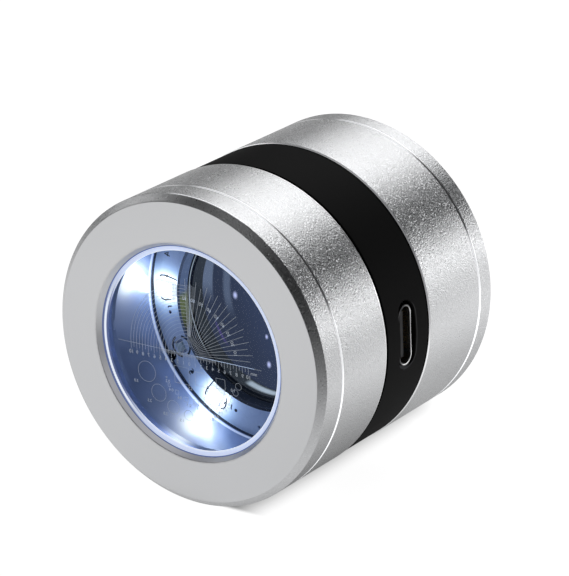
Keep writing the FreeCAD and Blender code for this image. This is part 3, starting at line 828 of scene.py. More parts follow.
lamp_window = glowing("lamp_phosphor", (0.86, 0.93, 1.0), 11.0, 0.15, 2000)
finishes["lamp"] = glowing("lamp_housing", (0.80, 0.88, 1.0), 1.1, 0.2, 2600)
finishes["frosted_seal"] = seal_finish()
print("glowing finishes:", lamp_window.name, finishes["frosted_seal"].name)

# %% [markdown]
# ## Dressing the CAD pieces
#
# Every CAD piece keeps its true shape and gets its finish by the name of its material slot. The visible
# turned pieces are then remade below with softened edges, because light runs along a softened edge as
# a fine line, and a sharp one stays dead.

# %% A finish for every CAD node
own_finishes = {
    "glass_retainer": chamber_finish, "centre_band": band_finish, "lens_cell": hood_finish,
    "lens_retainer": lens_ring_finish,
}
for name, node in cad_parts.items():
    slot = node.material_slots[0].material.name
    node.material_slots[0].material = own_finishes.get(name, finishes[slot])
    print(name, "->", node.material_slots[0].material.name)

# %% [markdown]
# ## Turned pieces
#
# A lathe carries an outline round the axis, and so does this function. First the outline's corners are
# softened: near a corner P, with the directions u and v to its neighbours, the outline follows
# P + t u (1 - k) squared + t v k squared, a small curve that starts and ends a distance t from the
# corner. One more point at twice that distance keeps the flats flat when the shading is smoothed.

# %% Softened outlines and their turning
SOFT_EDGE = 0.035
OUTER_SOFT = 0.06
SOFT_STEPS = 3


def softened(corners):
    """Corner rows are (station, radius) with an optional own t; the outline closes on itself."""
    t = np.array([row[2] if len(row) > 2 else SOFT_EDGE for row in corners])[:, None, None]
    corner = np.array([row[:2] for row in corners], float)
    to_last = np.roll(corner, 1, axis=0) - corner
    to_next = np.roll(corner, -1, axis=0) - corner
    to_last /= np.linalg.norm(to_last, axis=1)[:, None]
    to_next /= np.linalg.norm(to_next, axis=1)[:, None]
    k = np.linspace(0, 1, SOFT_STEPS + 1)
    last_share = np.concatenate([[2], (1 - k) ** 2, [0]])[None, :, None]
    next_share = np.concatenate([[0], k ** 2, [2]])[None, :, None]
    curve = corner[:, None] + t * (to_last[:, None] * last_share + to_next[:, None] * next_share)
    return curve.reshape(-1, 2)


def around(outline, closed):
    """The outline's (station, radius) rows carried round the axis."""
    angle = np.linspace(0, 2 * math.pi, SECTORS, endpoint=False)[None, :]
    points = place(outline[:, :1], outline[:, 1:], angle)
    return points.reshape(-1, 3), grid_faces(len(outline), SECTORS, closed)


def turned(corners):
    """The softened outline carried round the axis."""
    return around(softened(corners), True)


print("a soft corner has", SOFT_STEPS + 3, "points")

# %% Sizes of the turned pieces
WINDOW_MOUTH = 15.75
FACE_EDGE = 21.55
FACE_BEVEL = 0.95
SEAM_BEVEL = 0.15
BAND_BEVEL = 0.2
THREAD = 20.4
THREAD_END = 7.26
THREAD_GAP = 0.02
LIP_END = 0.74
LIP_EDGE = 15.2
POCKET_END = 4.5
REAR_START = 22.9
REAR_BORE = 20.2
SHOULDER = 37.4
COLLAR = 18.05
HUB_START = 36.56
HUB_BORE = 14.45
HUB = 18.0
GROOVE = 17.1
GROOVE_START = 37.63
GROOVE_END = 38.83
GRIP_START = 39.11
SEAT = 41.6
SEAT_EDGE = 20.9
SEAT_BORE = 16.6
HUB_END = 40.3
GLASS = 16.23
print("turned pieces: front screw", THREAD, "mm, hub", HUB, "mm")

# %% The front ring
front_ring = new_piece("front_ring", [turned([
    (0, WINDOW_MOUTH), (0, FACE_EDGE, OUTER_SOFT), (FACE_BEVEL, BARREL, OUTER_SOFT),
    (RING_END - SEAM_BEVEL, BARREL), (RING_END, BARREL - SEAM_BEVEL), (RING_END, THREAD),
    (THREAD_END, THREAD), (THREAD_END, CHAMBER), (POCKET_END, CHAMBER), (POCKET_END, WINDOW_POCKET),
    (LIP_END, WINDOW_POCKET), (LIP_END, LIP_EDGE, 0.05),
])], ring_finish, "housing")
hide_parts("base_ring")

# %% The front barrel with its light chamber
front_barrel = new_piece("front_barrel", [turned([
    (RING_END, THREAD + THREAD_GAP), (RING_END, BARREL - SEAM_BEVEL), (RING_END + SEAM_BEVEL, BARREL),
    (BAND_START - BAND_BEVEL, BARREL), (BAND_START, BARREL - BAND_BEVEL), (BAND_START, SPIGOT),
    (CHAMBER_END, SPIGOT), (CHAMBER_END, CHAMBER, 0.08), (THREAD_END + 0.05, CHAMBER),
    (THREAD_END + 0.05, THREAD + THREAD_GAP),
])], chamber_finish, "housing")
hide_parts("base_barrel")

# %% The rear barrel
back_barrel = new_piece("back_barrel", [turned([
    (REAR_START, REAR_BORE), (REAR_START, SPIGOT), (BAND_END, SPIGOT), (BAND_END, BARREL - BAND_BEVEL),
    (BAND_END + BAND_BEVEL, BARREL), (REAR_END - SEAM_BEVEL, BARREL), (REAR_END, BARREL - SEAM_BEVEL),
    (REAR_END, COLLAR), (SHOULDER, COLLAR), (SHOULDER, REAR_BORE),
])], barrel_finish, "housing")
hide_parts("rear_barrel")

# %% [markdown]
# ## Eye end
#
# The focus ring turns, and the face plate turns with it. The plate's cone leads the eye down to the
# lens, and its turned surface is smoother than the blasted ring round it.

# %% Focus ring and face plate
grip_ring = new_piece("grip_ring", [turned([
    (HUB_START, HUB_BORE), (HUB_START, HUB), (GROOVE_START, HUB), (GROOVE_START + 0.1, GROOVE),
    (GROOVE_END - 0.1, GROOVE), (GROOVE_END, HUB), (GRIP_START, HUB), (GRIP_START, BARREL - SEAM_BEVEL),
    (GRIP_START + SEAM_BEVEL, BARREL), (LENGTH - FACE_BEVEL, BARREL, OUTER_SOFT),
    (LENGTH, FACE_EDGE, OUTER_SOFT), (LENGTH, SEAT_EDGE), (SEAT, SEAT_EDGE), (SEAT, SEAT_BORE),
    (HUB_END, SEAT_BORE), (HUB_END, HUB_BORE),
])], grip_finish, "focus_ring")
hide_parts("focus_ring")
face_plate = new_piece("face_plate", [turned([
    (CONE_BOTTOM, 13.5, 0.05), (CONE_BOTTOM, SEAT_BORE - 0.02), (SEAT, SEAT_BORE - 0.02),
    (SEAT, PLATE_RIM), (PLATE_FACE, PLATE_RIM, 0.07), (PLATE_FACE, CONE, 0.07),
])], plate_finish, "focus_ring")
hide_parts("eye_plate")

# %% The milky seal round the window
milky_seal = new_piece("milky_seal", [turned([
    (LIP_END, LIP_EDGE), (LIP_END, GLASS), (GLASS_FRONT, GLASS), (GLASS_FRONT, 14.4, 0.015),
    (GLASS_FRONT - 0.07, 14.4, 0.015),
])], finishes["frosted_seal"], "housing")
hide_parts("window_seal")

# %% [markdown]
# ## Window and lenses
#
# Glass needs a surface that runs right to the axis. The outline starts and ends on the axis, where all
# the points of a row fall together and are merged. A lens face is part of a sphere: its station is the
# crown's, less the curve radius, plus the square root of the curve radius squared less the radius
# squared.

# %% Glass pieces
def disc(outline):
    """An outline from the axis back to the axis, carried round it."""
    return around(np.array(outline, float), False)


def lens_outline(flat, side):
    """The flat face, the edge and the curved face of a plano-convex lens."""
    across = np.linspace(LENS, 0, 40)
    sag = np.sqrt(LENS_CURVE ** 2 - across ** 2) - math.sqrt(LENS_CURVE ** 2 - LENS ** 2)
    curve = np.stack([flat + side * (LENS_EDGE + sag), across], axis=-1)
    return np.concatenate([[[flat, 0], [flat, LENS * 0.5], [flat, LENS]], curve])


GLASS_BEVEL = 0.2
window = new_piece("window_pane", [disc([
    (GLASS_FRONT, 0), (GLASS_FRONT, GLASS - GLASS_BEVEL), (GLASS_FRONT + GLASS_BEVEL, GLASS),
    (GLASS_BACK - GLASS_BEVEL, GLASS), (GLASS_BACK, GLASS - GLASS_BEVEL), (GLASS_BACK, 0),
])], finishes["clear_glass"], "housing")
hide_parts("scale_glass")
near_lens = new_piece("near_lens", [disc(lens_outline(FIELD_LENS_FLAT, 1))],
                      finishes["lens_glass"], "lens_cell")
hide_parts("field_lens")
far_lens = new_piece("far_lens", [disc(lens_outline(EYE_LENS_FLAT, -1))],
                     finishes["lens_glass"], "lens_cell")
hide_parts("eye_lens")

# %% [markdown]
# ## Small blocks
#
# Lamps and resistors are small blocks with softened edges, set in rings. A block is the eight corners of
# a unit cube, stretched, moved out to its circle and turned to its angle. All the blocks of a kind
# become one object, and a Bevel modifier softens the edges of the larger kinds.

# %% Blocks in a ring
CUBE = np.array([[i, j, k] for i in (-0.5, 0.5) for j in (-0.5, 0.5) for k in (-0.5, 0.5)])
CUBE_FACES = np.array([
    [0, 1, 3, 2], [4, 6, 7, 5], [0, 4, 5, 1], [2, 3, 7, 6], [0, 2, 6, 4], [1, 5, 7, 3],
])


def block(angle, height, sideways, station, deep, wide, long):
    """A block round a centre: deep along the height, wide sideways and long along the axis."""
    corner = CUBE * (deep, wide, long) + (height, sideways, station)
    return upright(corner[:, 0], corner[:, 1], corner[:, 2], angle), CUBE_FACES


def soften(piece, width):
    """Bevels every edge of the piece by the width, in millimetres."""
    bevel = piece.modifiers.new("soft_edges", "BEVEL")
    bevel.width = width * MM
    bevel.segments = 2
    bevel.limit_method = "ANGLE"
    piece.data.shade_flat()


HOUSING = (LAMP_LONG - 0.2, LAMP_WIDE - 0.1, 0.76)  # deep, wide and long, as for the next ones
PHOSPHOR = (2.5, 2.1, 0.06)
FOOT = (0.12, 1.8, 0.28)
housings = new_piece("lamp_housings", [
    block(angle, LAMP_CIRCLE, 0, 17.72, *HOUSING) for angle in LAMP_ANGLES
], finishes["lamp"], "housing")
soften(housings, 0.12)
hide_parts("leds")
new_piece("lamp_windows", [
    block(angle, LAMP_CIRCLE, 0, 17.345, *PHOSPHOR) for angle in LAMP_ANGLES
], lamp_window, "housing")
new_piece("lamp_feet", [
    block(angle, LAMP_CIRCLE + side * (LAMP_LONG - FOOT[0]) / 2, 0, 17.95, *FOOT)
    for angle in LAMP_ANGLES for side in (-1, 1)
], finishes["spring_steel"], "housing")

# %% One resistor for each pair of lamps
RESISTOR_ANGLES = LAMP_ANGLES[1::2] + LAMP_STEP / 2
RESISTOR = (1.2, 1.3, 0.46)
CAP = (1.24, 0.36, 0.5)
CAP_ASIDE = 0.82
ceramic = grained("resistor_ceramic", (0.60, 0.70, 0.68), 0.35, 0.0, 2600, 6e-6, 0.2)
bodies = new_piece("resistor_bodies", [
    block(angle, LAMP_CIRCLE, 0, 17.86, *RESISTOR) for angle in RESISTOR_ANGLES
], ceramic, "housing")
soften(bodies, 0.05)
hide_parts("led_resistors")
caps = new_piece("resistor_caps", [
    block(angle, LAMP_CIRCLE, side * CAP_ASIDE, 17.85, *CAP)
    for angle in RESISTOR_ANGLES for side in (-1, 1)
], finishes["spring_steel"], "housing")
soften(caps, 0.06)

# %% [markdown]
# ## Lines of a drawing
#
# The measuring scale, the printing on the board and the marks on the eye end are all thin lines on a
# flat face. One function makes them: it carries a small rectangle along a path. At each point the
# sideways direction is the path's own direction turned by a quarter, and the line's two edges lie half
# a width to each side. Another function takes the numerals from Blender's own font.

# %% Lines, circles and numerals
def line(path, width, closed=False):
    """(u, v, w) points: u, v = path plus and minus half the width times the sideways direction, and w
    is 0 on the front and 1 on the back."""
    path = np.array(path, float)
    ahead_less_behind = np.roll(path, -1, axis=0) - np.roll(path, 1, axis=0)
    along = ahead_less_behind if closed else np.gradient(path, axis=0)
    along /= np.linalg.norm(along, axis=1)[:, None]
    aside = np.stack([-along[:, 1], along[:, 0]], axis=-1) * width / 2
    edges = np.stack([path + aside, path - aside, path - aside, path + aside], axis=1)
    depth = np.broadcast_to(np.array([0, 0, 1, 1])[None, :, None], (len(path), 4, 1))
    points = np.concatenate([edges, depth], axis=-1).reshape(-1, 3)
    faces = grid_faces(len(path), 4, closed)
    if not closed:
        last = 4 * (len(path) - 1)
        faces = np.concatenate([faces, [[0, 1, 2, 3]], [[last, last + 1, last + 2, last + 3]]])
    return points, faces


def arc(centre, radius, start, end, steps, width):
    """Part of a circle: centre plus radius times (cosine, sine) of angles given in degrees."""
    angle = np.radians(np.linspace(start, end, steps))
    path = np.stack([np.cos(angle), np.sin(angle)], axis=-1) * radius + centre
    return line(path, width)


def circle(centre, radius, steps, width):
    """A whole circle."""
    angle = np.linspace(0, 2 * math.pi, steps, endpoint=False)
    path = np.stack([np.cos(angle), np.sin(angle)], axis=-1) * radius + centre
    return line(path, width, closed=True)


glyphs = {}


def numeral(text, size, centre, turn=0.0):
    """Numerals as (u, v, w) points, centred on a place and turned clockwise by an angle."""
    if text not in glyphs:
        curve = bpy.data.curves.new("numeral", "FONT")
        curve.body = text
        curve.align_x = "CENTER"
        curve.align_y = "CENTER"
        curve.resolution_u = 3
        curve.extrude = 0.5
        holder = bpy.data.objects.new("numeral", curve)
        bpy.context.scene.collection.objects.link(holder)
        bpy.context.view_layer.update()
        seen = holder.evaluated_get(bpy.context.evaluated_depsgraph_get())
        mesh = bpy.data.meshes.new_from_object(seen)
        flat = np.empty(3 * len(mesh.vertices))
        mesh.vertices.foreach_get("co", flat)
        faces = [list(face.vertices) for face in mesh.polygons]
        bpy.data.objects.remove(holder)
        bpy.data.curves.remove(curve)
        bpy.data.meshes.remove(mesh)
        glyphs[text] = (flat.reshape(-1, 3), faces)
    points, faces = glyphs[text]
    u = points[:, 0] * size
    v = points[:, 1] * size
    w = 0.5 - points[:, 2]
    turned_u = u * math.cos(turn) + v * math.sin(turn) + centre[0]
    turned_v = v * math.cos(turn) - u * math.sin(turn) + centre[1]
    return np.stack([turned_u, turned_v, w], axis=-1), faces


print("numeral 8 has", len(numeral("8", 1.0, (0, 0))[0]), "points")

# %% [markdown]
# ## The measuring scale
#
# The scale is etched on the side of the glass that lies on the work, so that lines and work are sharp
# together. It is read from the eye end, so it looks mirrored from the base. It has a millimetre scale,
# quarter circles for curves, an angle scale, and gauge circles and squares for comparing sizes. The
# lines face the lamps' light on one side and stand against the bright work on the other, so they are
# light in front and dark behind.

# %% Where the drawing of the scale lies
SCALE_TILT = math.radians(2.9)
SCALE_X = -0.47
SCALE_Z = -0.605
LINE_FRONT = 1.080
LINE_BACK = 1.096


def on_glass(part):
    """u, v as seen from the eye end: x = -u and z = v, turned by the tilt and moved to the centre."""
    points, faces = part
    x = -points[:, 0]
    z = points[:, 1]
    station = LINE_FRONT + (LINE_BACK - LINE_FRONT) * points[:, 2]
    turned_x = SCALE_X + x * math.cos(SCALE_TILT) - z * math.sin(SCALE_TILT)
    turned_z = SCALE_Z + x * math.sin(SCALE_TILT) + z * math.cos(SCALE_TILT)
    placed = np.stack([turned_x, station - LENGTH / 2, turned_z + BARREL], axis=-1)
    return MM * placed, faces


print("the lines lie at stations", LINE_FRONT, "to", LINE_BACK)

# %% The millimetre scale, the quarter circles and the angle scale
THIN = 0.04
FINE = 0.02
LINE_END = 12.2
WHOLE_TICK, HALF_TICK, TENTH_TICK = 0.95, 0.65, 0.4
SCALE_NUMERAL, UNIT_LETTERS, ANGLE_NUMERAL, GAUGE_NUMERAL = 0.78, 0.72, 0.74, 0.62
ANGLE_NUMERALS_AT = 8.1
drawing = [line([(-LINE_END, 0), (0, 0), (LINE_END, 0)], THIN)]
for tenth in range(-100, 101):
    if tenth % 5 == 0:
        long = WHOLE_TICK if tenth % 10 == 0 else HALF_TICK
        drawing.append(line([(tenth / 10, 0), (tenth / 10, -long)], THIN))
    elif -46 <= tenth <= 48:
        drawing.append(line([(tenth / 10, 0), (tenth / 10, -TENTH_TICK)], FINE))
for number in range(-10, 11):
    drawing.append(numeral(str(abs(number)), SCALE_NUMERAL, (number, -1.4)))
drawing.append(numeral("mm", UNIT_LETTERS, (-10.9, -0.75)))
for half in range(1, 21):
    drawing.append(arc((0, 0), half / 2, 0, 90, 8 + 2 * half, THIN))
for degree in range(0, 91, 5):
    turn = math.radians(180 - degree)
    ends = (1.2, 11.0) if degree % 10 == 0 else (1.8, 10.4)
    drawing.append(line([(end * math.cos(turn), end * math.sin(turn)) for end in ends], THIN))
    if degree % 10 == 0 and degree:
        spot = (ANGLE_NUMERALS_AT * math.cos(turn - 0.03), ANGLE_NUMERALS_AT * math.sin(turn - 0.03))
        drawing.append(numeral(str(degree), ANGLE_NUMERAL, spot, math.radians(degree - 90)))
for degree in range(81, 90):
    turn = math.radians(180 - degree)
    ends = [(end * math.cos(turn), end * math.sin(turn)) for end in (2.7, 10.2)]
    drawing.append(line(ends, FINE))
print("lines so far:", len(drawing))

# %% The gauge circles and squares
GAUGE_CIRCLES = [  # across, and the place of the middle
    (3.0, 7.5, -3.9), (2.5, 5.6, -6.7), (2.0, 3.2, -8.4), (1.5, 0.6, -9.1), (1.0, -8.2, -3.1),
    (0.9, -7.65, -4.1), (0.8, -7.1, -5.4), (0.7, -6.4, -6.3), (0.6, -5.7, -7.0),
    (0.5, -4.9, -7.8), (0.4, -4.0, -8.4), (0.3, -3.1, -8.9), (0.2, -2.1, -9.3), (0.1, -1.4, -9.7),
]
GAUGE_SQUARES = [
    (1.5, -5.2, -3.3), (2.0, -1.9, -3.3), (2.5, 1.4, -3.3), (1.2, -4.3, -5.3), (1.0, -2.7, -6.4),
    (0.8, -0.8, -6.9), (0.7, 0.9, -6.8), (0.6, 2.4, -6.0), (0.4, 3.7, -5.2), (0.2, 4.1, -4.1),
]
for across, u, v in GAUGE_CIRCLES:
    drawing.append(circle((u, v), across / 2, 16 + round(12 * across), THIN))
    spot = (u + across * 0.5 + 0.45, v - across * 0.5 - 0.25)
    drawing.append(numeral(f"{across:.1f}", GAUGE_NUMERAL, spot))
for across, u, v in GAUGE_SQUARES:
    half = across / 2
    corners = [(u - half, v - half), (u + half, v - half), (u + half, v + half), (u - half, v + half)]
    sides = [line([corners[side - 1], corners[side]], THIN) for side in range(4)]
    drawing.extend(sides)
    drawing.append(numeral(f"{across:.1f}", GAUGE_NUMERAL, (u - half - 0.1, v - half - 0.45)))


def etched_finish():
    """Light where the line faces the base, dark where it faces the eye."""
    finish = Finish("etched_scale_lines")
    back = finish.round_place()[0] > (LINE_FRONT + LINE_BACK) / 2
    wear = finish.noise(2200, 2.0, 0.6)
    light = finish.blend(wear, (0.62, 0.70, 0.82, 1), (0.86, 0.92, 1.0, 1))
    colour = finish.blend(back, light, (0.012, 0.014, 0.03, 1))
    return finish.done(finish.surface(
        Base_Color=colour, Roughness=0.5 + wear * 0.2, Emission_Color=colour, Emission_Strength=0.30,
    ))


new_piece("scale_lines", [on_glass(part) for part in drawing], etched_finish(), "housing")

# %% [markdown]
# ## Printing on the lamp board
#
# A circuit board is printed with outlines that show the assembler where each part goes. Ours has a pair
# of brackets beside each lamp and a ring round each resistor. The lines are drawn flat, with u across
# the radius and v along it, and then bent round the axis: the angle is u divided by the radius.

# %% Outlines and marks on the board
def on_board(part, angle):
    """Bends a drawing round the axis: radius = the lamp circle plus v, angle = its own plus u over
    the lamp circle."""
    points, faces = part
    radius = LAMP_CIRCLE + points[:, 1]
    station = BOARD_FRONT - 0.03 + 0.025 * points[:, 2]
    return place(station, radius, angle + points[:, 0] / LAMP_CIRCLE), faces


INK = 0.2
side_line = [(-1.55, -1.55), (-1.72, -1.45), (-1.80, 0.55), (-1.62, 1.25), (-1.35, 1.45)]
notch = [(-1.60, 0.35), (-1.95, 0.05)]
hook = [(1.30, 1.35), (1.75, 1.15), (1.88, 0.55), (1.72, -0.45), (1.45, -0.75)]
inner_hook = [(1.60, 0.35), (1.55, -0.15)]
tail = [(2.75, -0.45), (2.78, 0.15), (2.98, 0.30)]
marks = []
for number, angle in enumerate(LAMP_ANGLES):
    marks += [on_board(line(path, INK), angle) for path in (side_line, notch, hook, inner_hook, tail)]
    marks.append(on_board(circle((3.65, 0.05), 0.13, 12, 0.26), angle))
    marks.append(on_board(numeral(str(number + 1), 1.5, (-5.1, 0.7)), angle))
for angle in RESISTOR_ANGLES:
    marks.append(on_board(arc((0, 0), 1.55, 25, 165, 14, 0.3), angle))
    marks.append(on_board(arc((0, 0), 1.55, 205, 345, 14, 0.3), angle))
    marks.append(on_board(circle((3.9, 0.7), 0.13, 12, 0.26), angle))
board_ink = grained("board_ink", (0.045, 0.055, 0.075), 0.5, 0.0, 2200, 5e-6, 0.4)
new_piece("board_marks", marks, board_ink, "housing")

# %% [markdown]
# ## Marks on the eye end
#
# The face plate turns with the focus ring, so it carries a plain dial: ten numerals and fifty ticks,
# filled with white paint. Each numeral stands upright when it is at the top, as seen from the eye end.

# %% A plain dial
PAINT_FRONT = PLATE_FACE + 0.03
DIAL = 18.2
DIAL_NUMERAL = 3.3
LONG_FROM, SHORT_FROM, TICKS_TO = 19.75, 20.05, 20.55
TICK_WIDE = 0.22
dial = []


def on_plate(part):
    """u, v as seen from the eye end, on the plate's face: x = -u, z = v."""
    points, faces = part
    station = PAINT_FRONT - 0.05 * points[:, 2]
    placed = np.stack([-points[:, 0], station - LENGTH / 2, points[:, 1] + BARREL], axis=-1)
    return MM * placed, faces


for number in range(10):
    turn = math.radians(36 * number)
    centre = (DIAL * math.sin(turn), DIAL * math.cos(turn))
    dial.append(on_plate(numeral(str(number), DIAL_NUMERAL, centre, turn)))
for tick in range(50):
    turn = math.radians(7.2 * tick)
    start = LONG_FROM if tick % 5 == 0 else SHORT_FROM
    ends = [(end * math.sin(turn), end * math.cos(turn)) for end in (start, TICKS_TO)]
    dial.append(on_plate(line(ends, TICK_WIDE)))
dial_paint = grained("white_dial_paint", (0.86, 0.86, 0.87), 0.45, 0.0, 2600, 8e-6, 0.06)
new_piece("dial_marks", dial, dial_paint, "focus_ring")

# %% [markdown]
# ## The charging port
#
# The port's steel shell is a flat tube with round ends. We carry a small outline, the section through
# its wall, along a stadium: two half circles joined by straight runs. The mouth's edge is rolled, so it
# gets a larger softening. A painted highlight on its rear and low sides makes the bright line, and
# the rest of the shell is painted dark as shade.

# %% The rolled steel shell
SHELL_LONG = 8.94
SHELL_WIDE = 3.26
SHELL_WALL = 0.3
ROLLED = 0.07
HALF_STEPS = 24


def stadium(length, width):
    """Points and outward directions: a half circle round each end's centre."""
    half = np.linspace(-math.pi / 2, math.pi / 2, HALF_STEPS)
    angle = np.concatenate([half, half + math.pi])
    outward = np.stack([np.cos(angle), np.sin(angle)], axis=-1)
    centre = np.where(np.arange(2 * HALF_STEPS) < HALF_STEPS, 1, -1) * (length - width) / 2
    return outward * width / 2 + np.stack([centre, 0 * centre], axis=-1), outward


def stadium_tube(section, length, width, station, angle):
    """The section's (inset, height) points carried round the stadium: each point moves inwards by the
    inset."""
    path, outward = stadium(length, width)
    outline = softened(section)
    spot = path[:, None] - outward[:, None] * outline[None, :, :1]
    points = upright(outline[None, :, 1], spot[..., 0], station + spot[..., 1], angle)
    return points.reshape(-1, 3), grid_faces(len(path), len(outline), True)


def port_steel():
    """Drawn steel with a painted highlight on the rear and low sides of the rolled mouth, and painted
    shade in front.
    """
    finish = Finish("port_steel")
    station, radius, angle = finish.round_place()
    grain = finish.noise(2200, 3.0, 0.6)
    sideways, along, distance = port_place(station, radius, angle, SHELL_LONG, SHELL_WIDE)
    # Painted highlight: lit is 1 where the base colour is made light, and the rest is painted dark as
    # shade.
    lit = finish.soft_step(along - sideways * 0.1, -0.9, 0.2)
    lit = lit * (1 - finish.soft_step(distance, SHELL_WIDE / 2 - 0.17, SHELL_WIDE / 2 - 0.08))
    lit = lit * (1 - finish.soft_step(sideways, 2.9, 3.9) * 0.8)
    return finish.done(finish.surface(
        Base_Color=finish.blend(lit, (0.035, 0.035, 0.037, 1), (0.86, 0.86, 0.87, 1)),
        Roughness=0.22 + grain * 0.06, Metallic=1.0, Normal=finish.bump(grain * 0.000004),
    ))


shell = new_piece("port_shell", [stadium_tube(
    [(0, PORT_BACK), (0, PORT_MOUTH, ROLLED), (SHELL_WALL, PORT_MOUTH, ROLLED), (SHELL_WALL, PORT_BACK)],
    SHELL_LONG, SHELL_WIDE, PORT_STATION, PORT_LIFT,
)], port_steel(), "housing")
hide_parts("usb_shell")

# %% [markdown]
# ## Floor
#
# The loupe lies on white paper. The paper's colour takes a faint soft shadow from the lamps. A light of
# its own brings the rest to white, so that no lamp has to be turned up for it. Little light gets into
# the gap under a barrel, so this light fades near the line where the barrel touches the paper.
#
# Metal above the paper mirrors it, and shows the fade too: beside a barrel of radius R, the open share
# of the sky at a distance x is x squared over (x squared plus R squared). A sheet in a studio isn't
# equally bright all over either. It is dim far off to the left and behind the port side, and brighter
# where the soft boxes stand over it, and the barrel's lower stripes are these places.

# %% White paper
PAPER_REACH = 3.0
PAPER_SECTORS = 96


def contact_shadow(finish, x, y):
    """The camera's view of the paper's light, which fades in the gap under the barrel."""
    in_front = (0 - y - LENGTH / 2 + 3.0).math("MAXIMUM", 0.0) * 8
    behind = (y - LENGTH / 2).math("MAXIMUM", 0.0)
    distance = length_of(x.math("MAXIMUM", x * -3), in_front + behind)
    return finish.soft_step(distance, 4.0, 12.0) * 0.87 + 0.10


def mirrored_paper(finish, x, y):
    """The paper as metal and glass mirror it: open sky, two pools of light and three dim places."""
    beside = 1 - finish.soft_step(y, 8.0, 18.0) * 0.25 - finish.soft_step(y, 35.0, 70.0) * 0.75
    beside = beside * (1 - finish.soft_step(0 - y, 15.0, 25.0))
    hidden = BARREL ** 2 / (x * x + BARREL ** 2) * beside
    away = finish.soft_step(x * 0.9 - y * 0.44, 15.0, 110.0) * 0.85
    far_left = finish.soft_step(0 - x, 88.0, 140.0) * 0.40
    corner = finish.soft_step(x, 12.0, 28.0) * finish.soft_step(0 - y, 20.0, 27.0) * 0.15
    right_pool = finish.soft_step(x, 25.0, 55.0) * finish.soft_step(y, -26.0, -8.0)
    right_pool = right_pool * (0.5 - finish.soft_step(y, 35.0, 60.0) * 0.25)
    pools = right_pool + finish.soft_step(0 - y, 45.0, 100.0) * 0.18
    return (0.90 + pools) * (1 - hidden) * (1 - away) * (1 - far_left) * (1 - corner)


def white_paper():
    """Plain paper that takes the shadow, and its own light, which differs for the camera's rays and
    for rays from a mirror or a glass."""
    finish = Finish("white_paper")
    camera, glossy, transmission = (
        finish.node("LightPath", None, None, ray)
        for ray in ("Is Camera Ray", "Is Glossy Ray", "Is Transmission Ray")
    )
    x, y = (finish.node("SeparateXYZ", None, {0: finish.spot}, axis) / MM for axis in "XY")
    mirrored = (glossy + transmission) * mirrored_paper(finish, x, y)
    level = camera * contact_shadow(finish, x, y) + mirrored
    fibres = finish.noise(300, 3.0, 0.6)
    colour = finish.blend(fibres, (0.27, 0.27, 0.27, 1), (0.29, 0.29, 0.29, 1))
    paper = finish.node("BsdfDiffuse", None, {"Color": colour})
    grey = finish.node("CombineColor", None, {0: level, 1: level, 2: level})
    light = finish.node("Emission", None, {"Color": grey, "Strength": 1.0})
    return finish.done(finish.node("AddShader", None, {0: paper, 1: light}))


def paper_sheet():
    """Rings of a flat disc, with a closed middle."""
    distance = np.concatenate([[0.001], np.linspace(0.05, PAPER_REACH, 40)])[:, None]
    angle = np.linspace(0, 2 * math.pi, PAPER_SECTORS, endpoint=False)[None, :]
    x, y = distance * np.cos(angle), distance * np.sin(angle)
    points = np.stack([x, y, 0 * x], axis=-1)
    middle = list(range(PAPER_SECTORS - 1, -1, -1))
    faces = grid_faces(len(distance), PAPER_SECTORS, False).tolist() + [middle]
    mesh = bpy.data.meshes.new("paper")
    mesh.from_pydata(points.reshape(-1, 3), [], faces)
    mesh.materials.append(white_paper())
    return bpy.data.objects.new("paper", mesh)


paper = paper_sheet()
bpy.context.scene.collection.objects.link(paper)
print("paper:", len(paper.data.polygons), "faces")

# %% [markdown]
# ## Lamps
#
# A round metal barrel shows its lamps as stripes. Each soft box is given by the direction that its
# stripe comes from: how far round from the base end, and how high. Four stand behind: one low on the
# port side, a broad one high up with a brighter core, and one nearly overhead. A dark gap is left
# between the low and the high ones, because a dark stripe is what makes metal look like metal. Weaker
# ones stand low behind on the left, on the left, in front and on the right. Power is brightness times
# pi times the area. A faint light from all round fills the rest, and to the camera it looks white.

# %% Soft boxes
CENTRE = np.array([0, 0, BARREL * MM])
ROOM_LIGHT = 0.025
SOFT_BOXES = [  # name, azimuth, elevation, distance, width, height, brightness
    ("low_box_behind_port", 141, 6, 0.9, 0.75, 0.17, 2.72),
    ("high_box_behind", -168, 38, 0.9, 0.72, 0.58, 1.06),
    ("high_box_core", -168, 38, 0.88, 0.50, 0.34, 0.84),
    ("top_box_behind", 170, 62, 0.9, 0.50, 0.30, 2.2),
    ("low_box_behind_left", -140, 12, 0.9, 0.40, 0.25, 0.39),
    ("left_box", -85, 26, 0.9, 0.45, 0.45, 0.98),
    ("front_box", -10, 50, 0.9, 0.50, 0.40, 0.32),
    ("right_box", 80, 12, 0.9, 0.40, 0.25, 0.50),
]


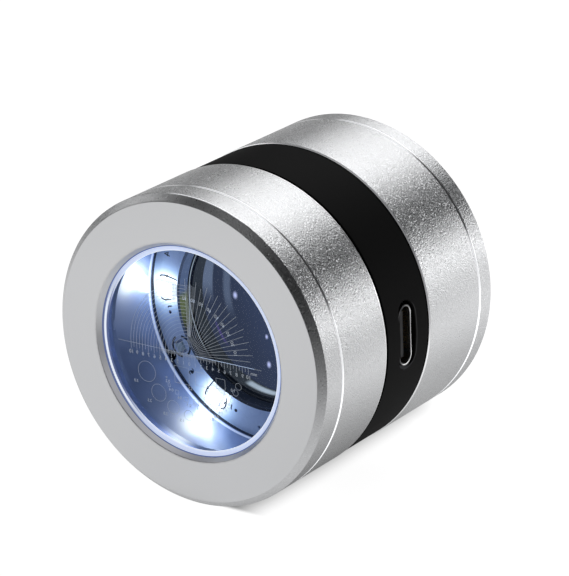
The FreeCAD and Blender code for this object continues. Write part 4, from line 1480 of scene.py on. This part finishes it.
def soft_box(name, azimuth, elevation, distance, width, height, brightness):
    """Azimuth in degrees from the base end towards the port, elevation above the floor."""
    azimuth, elevation = math.radians(azimuth), math.radians(elevation)
    way = np.array([
        math.sin(azimuth) * math.cos(elevation),
        -math.cos(azimuth) * math.cos(elevation),
        math.sin(elevation),
    ])
    lamp = bpy.data.lights.new(name, "AREA")
    lamp.shape = "RECTANGLE"
    lamp.size = width
    lamp.size_y = height
    lamp.energy = brightness * math.pi * width * height
    holder = bpy.data.objects.new(name, lamp)
    side = np.cross((0, 0, 1), way)
    side /= np.linalg.norm(side)
    holder.matrix_world = standing(CENTRE + way * distance, side, np.cross(way, side), way)
    bpy.context.scene.collection.objects.link(holder)


def standing(spot, right, up, back):
    """The matrix of a lamp or camera at a place, with its own three directions."""
    matrix = np.eye(4)
    matrix[:3] = np.stack([right, up, back, spot], axis=-1)
    return Matrix(matrix.tolist())


for box in SOFT_BOXES:
    soft_box(*box)
world = bpy.data.worlds.new("studio")
world.use_nodes = True
backdrop = world.node_tree.nodes["Background"]
backdrop.inputs["Color"].default_value = (0.95, 0.97, 1.0, 1)
camera_ray = world.node_tree.nodes.new("ShaderNodeLightPath").outputs["Is Camera Ray"]
room_level = world.node_tree.nodes.new("ShaderNodeMath")
room_level.operation = "MULTIPLY_ADD"
room_level.inputs[1].default_value = 1 - ROOM_LIGHT
room_level.inputs[2].default_value = ROOM_LIGHT
world.node_tree.links.new(camera_ray, room_level.inputs[0])
world.node_tree.links.new(room_level.outputs[0], backdrop.inputs["Strength"])
bpy.context.scene.world = world
print("soft boxes:", len(SOFT_BOXES))

# %% [markdown]
# ## Camera
#
# The camera stands where the photograph's did: its place and its three directions were worked out from
# the rings of the barrel. A long lens keeps the rings nearly round.

# %% Camera
CAMERA_SPOT = (0.23070, -0.32484, 0.18400)
CAMERA_RIGHT = (0.8166, 0.5772, 0.0)
CAMERA_UP = (-0.2138, 0.3024, 0.9289)
CAMERA_BACK = (0.5362, -0.7585, 0.3704)
camera_data = bpy.data.cameras.new("camera")
camera_data.sensor_width = 36.0
camera_data.lens = 190.3
camera_data.clip_start = 0.01
camera = bpy.data.objects.new("camera", camera_data)
camera.matrix_world = standing(CAMERA_SPOT, CAMERA_RIGHT, CAMERA_UP, CAMERA_BACK)
bpy.context.scene.collection.objects.link(camera)
bpy.context.scene.camera = camera
bpy.context.scene.view_settings.view_transform = "Standard"
print("camera:", camera_data.lens, "mm lens")
